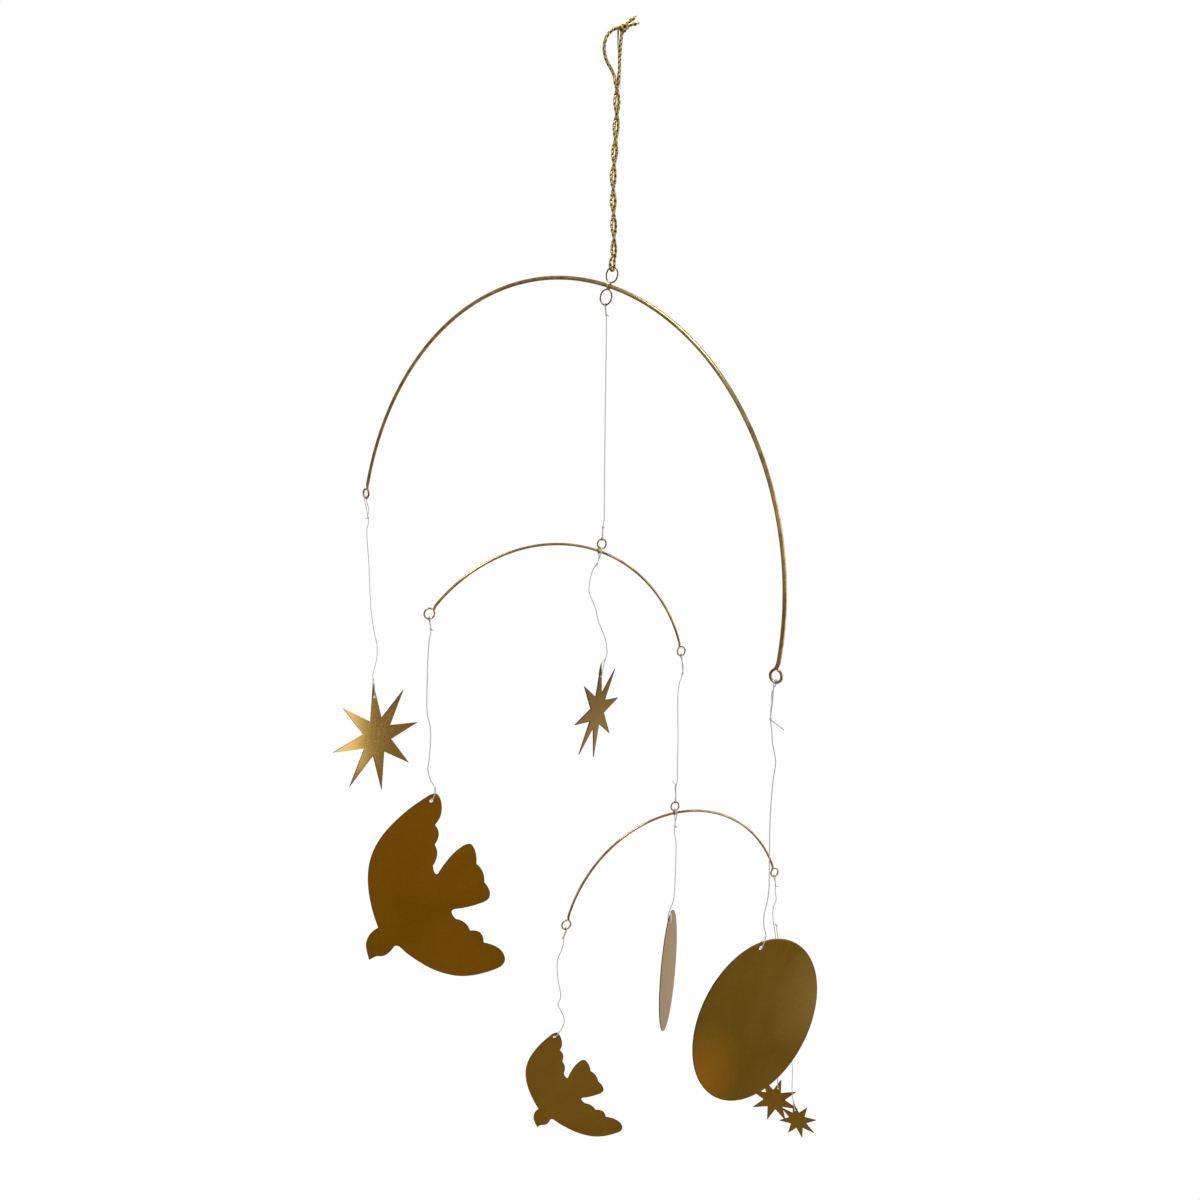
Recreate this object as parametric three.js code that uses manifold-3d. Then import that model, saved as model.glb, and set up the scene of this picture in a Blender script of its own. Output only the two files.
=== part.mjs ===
// A hanging mobile of brass wire arches with flat brass birds, stars and discs on threads.
// Millimetres, +Z up. The origin is the inside top of the cord's loop, where a hook goes.
// +X runs along the top arch, from its left end to its right end, and +Y runs away from the front.
import * as THREE from "three";
import { mergeVertices } from "three/addons/utils/BufferGeometryUtils.js";
import Module from "manifold-3d";

const wasm = await Module();
wasm.setup();

// ---------- driving dimensions ----------
const gap = 0.3; // between pieces that touch on the real object
const sheetThickness = 0.5;
const threadDiameter = 0.5;
const cordDiameter = 1.6;
const frontTurn = 41; // degrees from +X to the line that runs across the front view

// Each arch is a bent wire that hangs from a point on its arc. Angles are degrees round the arc's centre.
const topArch = { wire: 2.0, radius: 159, leftEnd: 165.7, rightEnd: -9.4, hungAt: 71.7, turn: 0, endEye: 2.9 };
const middleArch = { wire: 1.3, radius: 82, leftEnd: 142.4, rightEnd: 15.6, hungAt: 72, turn: 70.4, endEye: 2.5 };
const lowerArch = { wire: 1.3, radius: 70.5, leftEnd: 167.7, rightEnd: 19.5, hungAt: 93.6, turn: 65.8, endEye: 2.55 };
topArch.hang = [0, 0, -116.1];
middleArch.hang = [0, 0, -247];
lowerArch.hang = [19.1, 50.7, -395.8];

// The rings that are soldered on the arches.
const doubleEye = { wire: 0.8, radius: 3.7 };
const singleEye = { wire: 1.0, radius: 2.5 };
const collar = { wall: 0.7, length: 3 };

// The flat ornaments: where each hangs (the middle of its hole), the turn of its plane, its tilt within that
// plane, and how far its top leans back out of plumb.
const leftStar = { hole: [-199.5, 3, -363.6], turn: 96.7, tilt: 3, lean: 3, radius: 37.7, inner: 12.9, holeAt: 0.74 };
const middleStar = { hole: [1.7, 2.1, -312.6], turn: 106.1, tilt: 3.1, lean: -4.3, radius: 26.2, inner: 9.3, holeAt: 0.73 };
const smallStarA = { hole: [56.7, 122.9, -585.3], turn: 27.7, tilt: -13.5, lean: 0, radius: 15.2, inner: 6.5, holeAt: 0.54 };
const smallStarB = { hole: [71.6, 118.3, -589.8], turn: 19.5, tilt: 18, lean: 0, radius: 11.5, inner: 5.1, holeAt: 0.56 };
const largeDisc = { hole: [107.8, 0.7, -422.7], turn: 74.8, tilt: 1.9, lean: 0, radius: 39.4, rim: 2.8 };
const smallDisc = { hole: [19.1, 50.6, -462], turn: 118.6, tilt: 0, lean: 1.5, radius: 32.7, rim: 4.3, threadSide: 1 };
const largeBird = { hole: [-28.7, -84.2, -366.7], turn: 65.6, tilt: 21.5, lean: 0, scale: 1 };
const smallBird = { hole: [-10.7, -11.1, -517.7], turn: 41.9, tilt: 34.4, lean: 0, scale: 0.68 };

// ---------- materials ----------
const metal = (color, roughness) => new THREE.MeshStandardMaterial({ color, roughness, metalness: 1 });
const cloth = (color, roughness) => new THREE.MeshStandardMaterial({ color, roughness, metalness: 0 });
const finishes = {
  sheet: () => metal(0xa98a3a, 0.35),
  wire: () => metal(0x9a7a3c, 0.3),
  eye: () => metal(0x8a7a5c, 0.4),
  cord: () => metal(0xcdb873, 0.55),
  thread: () => cloth(0xe9e6dc, 0.8),
};

const mobile = new THREE.Group();
mobile.name = "hanging_mobile";
const add = (name, geometry, finish, position = [0, 0, 0], turn = 0) => {
  const mesh = new THREE.Mesh(geometry, finishes[finish]());
  mesh.name = name;
  mesh.position.set(...position);
  mesh.rotation.z = THREE.MathUtils.degToRad(turn);
  mobile.add(mesh);
};

// ---------- small helpers ----------
const rad = THREE.MathUtils.degToRad;
const polar = (radius, degrees) => [radius * Math.cos(rad(degrees)), radius * Math.sin(rad(degrees))];
const polygon = (radius, sides) =>
  Array.from({ length: sides }, (_, i) => new THREE.Vector2(...polar(radius, (360 * i) / sides)));

// A curve that is stepped at its own points, so a tight bend gets as many steps as a long run.
class SteppedCurve extends THREE.CatmullRomCurve3 {
  getUtoTmapping(u) {
    return u;
  }
}

// A round wire or cord along points [x, y, z], with a step from each point to the next.
function tube(points, diameter) {
  const path = new SteppedCurve(points.map((p) => new THREE.Vector3(...p)), false, "centripetal");
  const section = new THREE.Shape(polygon(diameter / 2, 8));
  return new THREE.ExtrudeGeometry(section, {
    extrudePath: path,
    steps: points.length - 1,
    bevelEnabled: false,
  });
}

function toSolid(geometry) {
  const plain = geometry.clone();
  plain.deleteAttribute("normal");
  plain.deleteAttribute("uv");
  const merged = mergeVertices(plain, 1e-4);
  const vertProperties = merged.attributes.position.array;
  return new wasm.Manifold(new wasm.Mesh({ numProp: 3, vertProperties, triVerts: merged.index.array }));
}

function fuse(geometries) {
  const whole = geometries.map(toSolid).reduce((sum, next) => sum.add(next));
  const { vertProperties, triVerts } = whole.getMesh();
  const geometry = new THREE.BufferGeometry();
  geometry.setAttribute("position", new THREE.BufferAttribute(vertProperties, 3));
  geometry.setIndex(new THREE.BufferAttribute(triVerts, 1));
  return geometry;
}

// ---------- wire arches ----------
// In an arch's own plane, u runs along it and z is up, both from the point that it hangs by.
const arcCentre = (arch) => polar(-arch.radius, arch.hungAt);
const onArc = (arch, degrees) => {
  const [cu, cz] = arcCentre(arch);
  const [u, z] = polar(arch.radius, degrees);
  return [cu + u, cz + z];
};
// A point of an arch's plane in the part's own frame.
const placed = (arch, [u, z]) => {
  const [x, y] = polar(u, arch.turn);
  return [arch.hang[0] + x, arch.hang[1] + y, arch.hang[2] + z];
};

// The eye at an end: the wire swings off its arc and curls once round. It is listed from the arc outwards.
function endEyePoints(arch, end, towardsMiddle) {
  const [cu, cz] = onArc(arch, end);
  const heading = end + 90 * towardsMiddle; // from the eye's centre back along the wire
  const turns = Array.from({ length: 11 }, (_, i) => 55 + 28.5 * i);
  return turns.map((t) => {
    const [u, z] = polar(arch.endEye, heading + t * towardsMiddle);
    return [cu + u, cz + z];
  });
}

function archGeometry(arch) {
  const neck = THREE.MathUtils.radToDeg((arch.endEye + 2.2 * arch.wire) / arch.radius);
  const from = arch.leftEnd - neck;
  const to = arch.rightEnd + neck;
  const leftSteps = Math.round((from - arch.hungAt) / 5.5);
  const rightSteps = Math.round((arch.hungAt - to) / 5.5);
  const angles = [];
  for (let i = 0; i < leftSteps; i++) angles.push(from + ((arch.hungAt - from) * i) / leftSteps);
  for (let i = 0; i <= rightSteps; i++) angles.push(arch.hungAt + ((to - arch.hungAt) * i) / rightSteps);
  const flat = [
    ...endEyePoints(arch, arch.leftEnd, -1).reverse(),
    ...angles.map((a) => onArc(arch, a)),
    ...endEyePoints(arch, arch.rightEnd, 1),
  ];
  return tube(flat.map(([u, z]) => [u, 0, z]), arch.wire);
}

// Rings soldered on an arch where it hangs: side 1 stands above the wire and -1 hangs below it.
const ringCentre = (arch, eye, side) => {
  const reach = arch.wire / 2 + gap + eye.wire / 2 + eye.radius;
  return polar(reach * side, arch.hungAt);
};
function solderedEyes(arch, eye, sides) {
  const bore = arch.wire / 2 + gap + 0.05;
  const half = collar.length / 2;
  const profile = [[bore, -half], [bore + collar.wall, -half], [bore + collar.wall, half], [bore, half], [bore, -half]];
  const sleeve = new THREE.LatheGeometry(profile.map(([r, y]) => new THREE.Vector2(r, y)), 12);
  sleeve.rotateZ(rad(arch.hungAt));
  const rings = sides.map((side) => {
    const ring = new THREE.TorusGeometry(eye.radius, eye.wire / 2, 8, 18);
    return ring.translate(...ringCentre(arch, eye, side), 0);
  });
  return fuse([sleeve, ...rings]).rotateX(Math.PI / 2);
}

add("top_arch", archGeometry(topArch), "wire", topArch.hang, topArch.turn);
add("middle_arch", archGeometry(middleArch), "wire", middleArch.hang, middleArch.turn);
add("lower_arch", archGeometry(lowerArch), "wire", lowerArch.hang, lowerArch.turn);
add("top_arch_double_eye", solderedEyes(topArch, doubleEye, [1, -1]), "eye", topArch.hang, topArch.turn);
add("middle_arch_eye", solderedEyes(middleArch, singleEye, [1]), "eye", middleArch.hang, middleArch.turn);
add("lower_arch_eye", solderedEyes(lowerArch, singleEye, [1]), "eye", lowerArch.hang, lowerArch.turn);

// ---------- flat ornaments ----------
// An outline is drawn about its own hole, with y up, then stood upright, leant and turned to its plane.
function addOrnament(name, ornament, outline, holeDiameter) {
  const shape = new THREE.Shape(outline);
  shape.holes.push(new THREE.Path(polygon(holeDiameter / 2, 12)));
  const sheet = new THREE.ExtrudeGeometry(shape, { depth: sheetThickness, bevelEnabled: false });
  sheet.translate(0, 0, -sheetThickness / 2).rotateX(Math.PI / 2 - rad(ornament.lean));
  add(name, sheet, "sheet", ornament.hole, ornament.turn);
}

// An outline drawn about another point, moved so that its hole is at 0, 0 and tilted round that hole.
const aboutHole = (outline, hole, tilt) =>
  outline.map((p) => p.clone().sub(hole).rotateAround(new THREE.Vector2(), rad(tilt)));

function starOutline({ radius, inner, tilt, holeAt }) {
  const points = Array.from({ length: 16 }, (_, i) => new THREE.Vector2(...polar(i % 2 ? inner : radius, 90 + 22.5 * i)));
  return aboutHole(points, new THREE.Vector2(0, radius * holeAt), tilt);
}

function discOutline({ radius, rim, tilt }) {
  return aboutHole(polygon(radius, 72), new THREE.Vector2(0, radius - rim), tilt);
}

// A dove seen from above, with its wings spread and its head turned: x runs from beak to tail and y across.
function birdOutline({ scale, tilt }) {
  const dove = new THREE.Path();
  const through = (points) => dove.splineThru(points.map(([x, y]) => new THREE.Vector2(x, y)));
  dove.moveTo(-34.3, 0.2);
  // the upper wing: its front edge, its tip and its two scallops
  through([[-33.7, 7.5], [-32.6, 14.5], [-31.1, 20.8], [-28.8, 27.3], [-25.4, 33.6], [-20.6, 39], [-15, 43], [-8, 46.2], [0, 48.7], [9, 50.3], [12.8, 50.6]]);
  through([[15.3, 49.7], [16.1, 46.8], [15.1, 41.9], [12.6, 37.7], [9, 35.2]]);
  dove.quadraticCurveTo(10.8, 29.2, 5.2, 25.9);
  dove.quadraticCurveTo(6.2, 20, 0.6, 16.2);
  // the notch and the tail, which ends in a wide scallop
  through([[0, 13.4], [0.3, 11.1], [1.2, 10.9]]);
  through([[5.4, 13.6], [10.4, 16.2], [14.8, 17.6], [19, 18], [21.4, 16.9], [22.1, 13.6], [21.5, 9.2], [20.2, 5.7]]);
  dove.quadraticCurveTo(23, 0.2, 20.4, -5.4);
  through([[21.2, -9.3], [20.9, -12.5], [19.6, -14.7], [17.4, -15.3], [12, -14.4], [6, -12.6], [1.2, -10.7]]);
  through([[0.2, -11.1], [0, -13.5], [0.6, -16.2]]);
  // the lower wing: its two scallops, its tip and its straighter front edge
  dove.quadraticCurveTo(5.2, -20, 4.8, -26);
  dove.quadraticCurveTo(11.4, -29.3, 8.6, -35.8);
  through([[12.4, -40], [14.9, -44.2], [15.7, -47.9], [14.9, -51.6], [12.3, -53.2]]);
  through([[5.5, -52.3], [-3, -49.3], [-9.4, -45.4], [-14.2, -40.9], [-19.4, -34.4], [-23.8, -26.8], [-27, -20.2], [-29.4, -13.9], [-30.8, -12.9]]);
  // the head, down to the beak
  through([[-32.6, -13.8], [-35.4, -14.8], [-38, -14.5], [-40.2, -13.1], [-44.1, -12.8]]);
  through([[-43.5, -8.8], [-42.4, -4.6], [-39.6, -1.3], [-36.8, -0.1], [-34.3, 0.2]]);
  const points = dove.getPoints(2).slice(0, -1);
  return aboutHole(points, new THREE.Vector2(11.8, 47.6), tilt).map((p) => p.multiplyScalar(scale));
}

addOrnament("left_star", leftStar, starOutline(leftStar), 1.7);
addOrnament("middle_star", middleStar, starOutline(middleStar), 1.4);
addOrnament("small_star_a", smallStarA, starOutline(smallStarA), 1.2);
addOrnament("small_star_b", smallStarB, starOutline(smallStarB), 1.2);
addOrnament("large_disc", largeDisc, discOutline(largeDisc), 2.0);
addOrnament("small_disc", smallDisc, discOutline(smallDisc), 2.0);
addOrnament("large_bird", largeBird, birdOutline(largeBird), 1.9);
addOrnament("small_bird", smallBird, birdOutline(smallBird), 1.6);

// ---------- threads ----------
// A thread's bends are [part of the way down, sideways across the front view, backwards].
function threadRoute(start, end, bends) {
  const [sx, sy] = polar(1, frontTurn);
  const between = bends.map(([part, sideways, back]) => [
    start[0] + (end[0] - start[0]) * part + sideways * sx - back * sy,
    start[1] + (end[1] - start[1]) * part + sideways * sy + back * sx,
    start[2] + (end[2] - start[2]) * part,
  ]);
  return [start, ...between, end];
}
const addThread = (name, start, end, bends) =>
  add(name, tube(threadRoute(start, end, bends), threadDiameter), "thread");

// Just below the eye at an arch's end.
const belowEye = (arch, end) => {
  const [u, z] = onArc(arch, end);
  return placed(arch, [u, z - arch.endEye - arch.wire / 2 - gap]);
};
// Just below the place that an arch hangs by.
const belowCollar = (arch) => {
  const down = arch.wire / 2 + gap + 0.05 + collar.wall + gap;
  return placed(arch, [0, -down]);
};
// Just above or below a soldered ring.
const atRing = (arch, eye, side) => {
  const [u, z] = ringCentre(arch, eye, side);
  return placed(arch, [u, z + side * (eye.radius + eye.wire / 2 + gap)]);
};
// Beside an ornament's hole, on its front face unless threadSide is 1.
const atHole = ({ hole, turn, threadSide = -1 }) => {
  const off = sheetThickness / 2 + gap + threadDiameter / 2;
  const [nx, ny] = polar(off, turn + 90 * threadSide);
  return [hole[0] + nx, hole[1] + ny, hole[2]];
};

addThread("thread_middle_arch", atRing(topArch, doubleEye, -1), atRing(middleArch, singleEye, 1), [
  [0.04, 0.4, 0.1], [0.3, 0.6, 0.4], [0.6, 0.7, -0.3], [0.88, 0.9, 0.1], [0.92, 0.9, 0.4], [0.96, 0.2, 0.1],
]);
addThread("thread_left_star", belowEye(topArch, topArch.leftEnd), atHole(leftStar), [
  [0.05, 1.5, 0.3], [0.08, 0.7, -0.5], [0.1, 1.2, 0], [0.15, -0.4, 0.4], [0.32, -0.3, 1.0], [0.53, -0.1, 0.2],
  [0.66, 1.6, -0.8], [0.73, 3.0, -0.2], [0.8, 2.2, 0.6], [0.86, 0.1, 0.4], [0.89, -0.9, 0], [0.93, 0, -0.2],
]);
addThread("thread_large_bird", belowEye(middleArch, middleArch.leftEnd), atHole(largeBird), [
  [0.05, 0.6, 0.2], [0.12, -0.4, 0.5], [0.3, -1.2, -0.4], [0.51, -1.6, 0.3], [0.59, -0.4, 0.9], [0.75, -0.8, 0.1],
  [0.82, -1.5, -0.6], [0.88, -0.4, 0], [0.91, 1.0, 0.3], [0.94, 1.9, 0.2], [0.97, 1.2, 0],
]);
addThread("thread_middle_star", belowCollar(middleArch), atHole(middleStar), [
  [0.07, -1.1, 0.3], [0.12, -3.4, 0.6], [0.22, -5.2, 0.2], [0.3, -5.6, -0.6], [0.37, -4.1, -0.3], [0.45, -2.3, 0.5],
  [0.54, -1.2, 0.8], [0.64, 1.3, 0.2], [0.7, 2.5, -0.4], [0.81, 3.0, -0.2], [0.88, 1.6, 0.3],
]);
addThread("thread_lower_arch", belowEye(middleArch, middleArch.rightEnd), atRing(lowerArch, singleEye, 1), [
  [0.06, 1.4, 0.2], [0.12, 1.1, -0.4], [0.17, -0.2, 0], [0.25, -0.8, 0.5], [0.4, -0.4, 0.7], [0.57, 0.2, -0.3],
  [0.72, 0.3, -0.6], [0.87, 0.6, 0.1], [0.91, -0.4, 0.3], [0.95, 0.1, 0],
]);
addThread("thread_small_disc", belowCollar(lowerArch), atHole(smallDisc), [
  [0.08, 0.5, 0.2], [0.14, 0.3, -0.3], [0.22, 1.4, 0.1], [0.3, 1.9, 0.6], [0.55, 2.4, 0.3], [0.77, 2.3, -0.4],
  [0.87, 0.7, -0.2], [0.93, -0.2, 0],
]);
addThread("thread_large_disc", belowEye(topArch, topArch.rightEnd), atHole(largeDisc), [
  [0.03, -1.3, 0.3], [0.06, -1.1, 0], [0.09, -1.5, -0.4], [0.13, -1.3, 0], [0.17, -0.4, 0.5], [0.21, 0.1, 0.2],
  [0.28, 1.8, -0.5], [0.35, 1.2, -0.2], [0.48, 0.9, 0.7], [0.64, 1.4, 0.3], [0.7, 1.6, -0.4], [0.76, 1.9, 0],
  [0.81, 1.6, 0.4], [0.87, 0.3, 0.2], [0.91, 0.4, 0], [0.95, 1.6, -0.2],
]);
addThread("thread_small_bird", belowEye(lowerArch, lowerArch.leftEnd), atHole(smallBird), [
  [0.05, -0.9, 0.2], [0.12, -0.7, -0.3], [0.19, -1.5, 0.1], [0.26, -2.7, 0.5], [0.34, -2.7, 0.3], [0.44, -1.6, -0.4],
  [0.61, 1.0, -0.5], [0.69, 0, 0.1], [0.76, 2.5, 0.5], [0.84, 4.4, 0.3], [0.93, 3.0, 0],
]);
const starThreadTop = belowEye(lowerArch, lowerArch.rightEnd);
addThread("thread_small_star_a", starThreadTop, atHole(smallStarA), [
  [0.03, 0.8, 0.2], [0.06, 0.5, -0.2], [0.1, 1.0, 0.1], [0.14, -0.8, 0.4], [0.2, -1.0, 0.2], [0.26, 0, -0.4],
  [0.45, 1.2, 0.3], [0.62, -0.6, 0.8], [0.8, 0.8, 0.1], [0.93, -0.4, -0.2],
]);
// The second small star's thread is knotted to the first one's, a fifth of the way down.
addThread("thread_small_star_b", [51.2, 116.0, -475.5], atHole(smallStarB), [
  [0.08, 0.5, -0.4], [0.2, 0.6, 0.3], [0.4, 1.2, 0.7], [0.6, 0.3, 0.2], [0.75, 1.2, -0.4], [0.9, -0.5, 0],
]);

// ---------- hanging cord ----------
// It runs from the knot down the loop's left side, twists with itself, passes through the upper ring,
// and comes back up the other side to the knot.
const across = (sideways, back, z) => {
  const [sx, sy] = polar(1, frontTurn);
  return [sideways * sx - back * sy, sideways * sy + back * sx, z];
};
const twist = { top: -20, bottom: -102.5, halfWidth: 1.0, turns: 3.636, steps: 29 };
const [ringU, ringZ] = ringCentre(topArch, doubleEye, 1);
const ringTop = topArch.hang[2] + ringZ + doubleEye.radius;
// A strand of the twisted stretch at part 0 (top) to 1 (bottom); the strands are half a turn apart.
const strand = (part, startAngle) => {
  const [dx, dy] = polar(twist.halfWidth, startAngle + 360 * twist.turns * part);
  const sway = 0.5 * Math.sin(rad(360 * 1.3 * part));
  const lean = ringU * part;
  const [sx, sy] = polar(sway, frontTurn);
  return [lean + sx + dx, sy + dy, twist.top + (twist.bottom - twist.top) * part];
};
const strandPoints = (startAngle) =>
  Array.from({ length: twist.steps + 1 }, (_, i) => strand(i / twist.steps, startAngle));
const underRing = doubleEye.wire / 2 + gap + cordDiameter / 2 + 0.1;
const halfBend = [
  [ringU, underRing * 0.9, ringTop + 2.6],
  [ringU, underRing, ringTop + 0.6],
  [ringU, underRing * 0.72, ringTop - underRing * 0.7],
];
const bend = [
  ...halfBend,
  [ringU, 0, ringTop - underRing],
  ...halfBend.map(([x, y, z]) => [x, -y, z]).reverse(),
];
const leftOfLoop = [
  across(0.3, 0, 1.5), across(-1.8, 0.1, 0.9), across(-4.3, 0.1, -1.0), across(-6.0, 0, -4.6), across(-6.2, -0.1, -9.0),
  across(-4.8, -0.1, -13.4), across(-2.4, -0.1, -17.2),
];
const rightOfLoop = [
  across(1.9, 0, -0.5), across(1.6, 0.1, -3.4), across(1.3, 0.1, -8.0), across(1.2, 0, -12.6), across(1.3, 0, -16.8),
];
const leftAngle = frontTurn + 180;
add(
  "hanging_cord",
  tube([...leftOfLoop, ...strandPoints(leftAngle), ...bend, ...strandPoints(frontTurn).reverse(), ...rightOfLoop.reverse()], cordDiameter),
  "cord",
);

// The knot that ties the cord's two ends, with the cut ends standing out of it.
const knotCentre = across(2.6, 0, 1.7);
const knotBody = new THREE.SphereGeometry(1.6, 12, 8).scale(1.0, 1.0, 1.05).translate(...knotCentre);
const tails = [
  tube([across(3.2, 0, 2.1), across(5.2, 0.2, 4.4), across(7.9, 0.4, 6.6)], cordDiameter),
  tube([across(3.2, 0, 1.9), across(6.0, -0.2, 2.9), across(8.9, -0.3, 3.3)], cordDiameter),
];
add("hanging_cord_knot", fuse([knotBody, ...tails]), "cord");

export default mobile;
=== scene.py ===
# %% [markdown]
# # A hanging mobile of brass birds, stars and discs
#
# Three bent brass wires hang under each other on threads, and flat brass shapes hang from their ends.
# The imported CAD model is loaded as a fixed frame, and every piece below goes where that frame says.
# All sizes are in metres, +Z is up, and the origin is the inside top of the cord's loop.

# %% Load the frame
import bisect
import math
import random

import bpy
from mathutils import Matrix, Vector


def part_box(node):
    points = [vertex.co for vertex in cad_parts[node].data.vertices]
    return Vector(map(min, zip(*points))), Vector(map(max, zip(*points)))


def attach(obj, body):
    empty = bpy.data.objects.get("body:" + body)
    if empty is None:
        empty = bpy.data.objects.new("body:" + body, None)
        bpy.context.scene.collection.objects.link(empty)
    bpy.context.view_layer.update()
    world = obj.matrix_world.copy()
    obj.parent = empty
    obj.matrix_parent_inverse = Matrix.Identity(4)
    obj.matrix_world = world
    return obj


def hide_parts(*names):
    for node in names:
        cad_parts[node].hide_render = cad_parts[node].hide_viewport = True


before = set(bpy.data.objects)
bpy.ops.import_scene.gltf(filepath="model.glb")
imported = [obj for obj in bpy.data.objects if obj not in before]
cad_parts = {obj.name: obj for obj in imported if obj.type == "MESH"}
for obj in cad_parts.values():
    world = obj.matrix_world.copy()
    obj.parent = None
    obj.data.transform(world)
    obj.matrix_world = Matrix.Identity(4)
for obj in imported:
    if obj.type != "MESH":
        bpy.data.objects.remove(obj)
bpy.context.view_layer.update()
mm = 0.001

# %% [markdown]
# ## The camera
#
# The camera stands a little right of the mobile and half a metre off, so the near ends of the arches
# look larger than the far ends. A wide lens of about 28 mm gives that depth. It is turned with three
# plain directions: where it looks, and which way is up for it.

# %% Camera
camera_place = Vector((0.3130, -0.3573, -0.2008))
looks_along = Vector((-0.6498, 0.7454, -0.1487)).normalized()
upwards = Vector((-0.1248, 0.0884, 0.9882))
sideways = looks_along.cross(upwards).normalized()
upwards = sideways.cross(looks_along)
camera = bpy.data.objects.new("camera", bpy.data.cameras.new("camera"))
bpy.context.scene.collection.objects.link(camera)
camera.data.lens = 27.9
camera.data.sensor_width = 36
camera.data.clip_start = 0.01
turn = Matrix((sideways, upwards, -looks_along)).transposed()
camera.matrix_world = Matrix.Translation(camera_place) @ turn.to_4x4()
bpy.context.scene.camera = camera
print("camera at", tuple(round(c, 3) for c in camera.matrix_world.translation))

# %% [markdown]
# ## Cords and threads: their routes
#
# The mobile hangs on one gold cord, tied into a loop, and its arches and shapes hang on white threads.
# A cord is a fixed length of something flexible, so its route is settled first, point by point, and
# the tube is drawn round it afterwards. The routes start and end at the wire arches, so the few sizes
# that place the arches come first.

# %% The arches' places
def polar(radius, degrees):
    return radius * math.cos(math.radians(degrees)), radius * math.sin(math.radians(degrees))


gap = 0.3 * mm
sheet_thickness = 0.5 * mm
thread_diameter = 0.5 * mm
cord_diameter = 1.6 * mm
front_turn = 41  # degrees from +X to the line that runs across the front view

top = dict(wire=2.0, radius=159, left=165.7, right=-9.4, hung=71.7, turn=0, eye=2.9, hang=(0, 0, -116.1))
middle = dict(wire=1.3, radius=82, left=142.4, right=15.6, hung=72, turn=70.4, eye=2.5, hang=(0, 0, -247))
lower = dict(wire=1.3, radius=70.5, left=167.7, right=19.5, hung=93.6, turn=65.8, eye=2.55,
             hang=(19.1, 50.7, -395.8))
for arch in (top, middle, lower):
    for size in ("wire", "radius", "eye"):
        arch[size] *= mm
    arch["hang"] = Vector(arch["hang"]) * mm


def on_arc(arch, degrees):
    """A point of the arch in its own plane: along it, and up, from the point that it hangs by."""
    cu, cz = polar(-arch["radius"], arch["hung"])
    u, z = polar(arch["radius"], degrees)
    return cu + u, cz + z


def placed(arch, flat_point, off=0):
    """A point of an arch's plane in the mobile's own frame, or one that is off that plane."""
    u, z = flat_point
    along = Vector((*polar(1, arch["turn"]), 0))
    normal = Vector((*polar(1, arch["turn"] - 90), 0))
    return arch["hang"] + along * u + normal * off + Vector((0, 0, z))


for name, arch in (("top", top), ("middle", middle), ("lower", lower)):
    ends = [placed(arch, on_arc(arch, arch[end])) for end in ("left", "right")]
    print(name, "arch:", round((ends[0] - ends[1]).length / mm), "mm between its ends")

# %% Where threads are tied
double_eye = dict(wire=0.8 * mm, radius=3.7 * mm)
single_eye = dict(wire=1.0 * mm, radius=2.5 * mm)
collar_wall = 0.7 * mm


def below_eye(arch, end):
    u, z = on_arc(arch, arch[end])
    return placed(arch, (u, z - arch["eye"] - arch["wire"] / 2 - gap))


def below_collar(arch):
    return placed(arch, (0, -(arch["wire"] / 2 + 2 * gap + 0.05 * mm + collar_wall)))


def ring_centre(arch, eye, side):
    return polar((arch["wire"] / 2 + gap + eye["wire"] / 2 + eye["radius"]) * side, arch["hung"])


def at_ring(arch, eye, side):
    u, z = ring_centre(arch, eye, side)
    return placed(arch, (u, z + side * (eye["radius"] + eye["wire"] / 2 + gap)))


def at_hole(shape):
    off = sheet_thickness / 2 + gap + thread_diameter / 2
    side = Vector((*polar(off, shape["turn"] + 90 * shape.get("thread_side", -1)), 0))
    return shape["hole"] + side


left_star = dict(hole=(-199.5, 3, -363.6), turn=96.7, tilt=3, lean=3, radius=37.7, inner=12.9, hole_at=0.74)
middle_star = dict(hole=(1.7, 2.1, -312.6), turn=106.1, tilt=3.1, lean=-4.3,
                   radius=26.2, inner=9.3, hole_at=0.73)
small_star_a = dict(hole=(56.7, 122.9, -585.3), turn=27.7, tilt=-13.5, lean=0,
                    radius=15.2, inner=6.5, hole_at=0.54)
small_star_b = dict(hole=(71.6, 118.3, -589.8), turn=19.5, tilt=18, lean=0,
                    radius=11.5, inner=5.1, hole_at=0.56)
large_disc = dict(hole=(107.8, 0.7, -422.7), turn=74.8, tilt=1.9, lean=0, radius=39.4, rim=2.8)
small_disc = dict(hole=(19.1, 50.6, -462), turn=118.6, tilt=0, lean=1.5, radius=32.7, rim=4.3, thread_side=1)
large_bird = dict(hole=(-28.7, -84.2, -366.7), turn=65.6, tilt=21.5, lean=0, scale=1)
small_bird = dict(hole=(-10.7, -11.1, -517.7), turn=41.9, tilt=34.4, lean=0, scale=0.68)
for shape in (left_star, middle_star, small_star_a, small_star_b,
              large_disc, small_disc, large_bird, small_bird):
    shape["hole"] = Vector(shape["hole"]) * mm


# %% Routes of the threads
def thread_route(start, end, bends):
    """A bend is the part of the way down, and how far it goes sideways and backwards, in millimetres."""
    sx, sy = polar(mm, front_turn)
    route = [start]
    for part, aside, back in bends:
        bend = start.lerp(end, part)
        route.append(bend + Vector((aside * sx - back * sy, aside * sy + back * sx, 0)))
    return route + [end]


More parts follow.
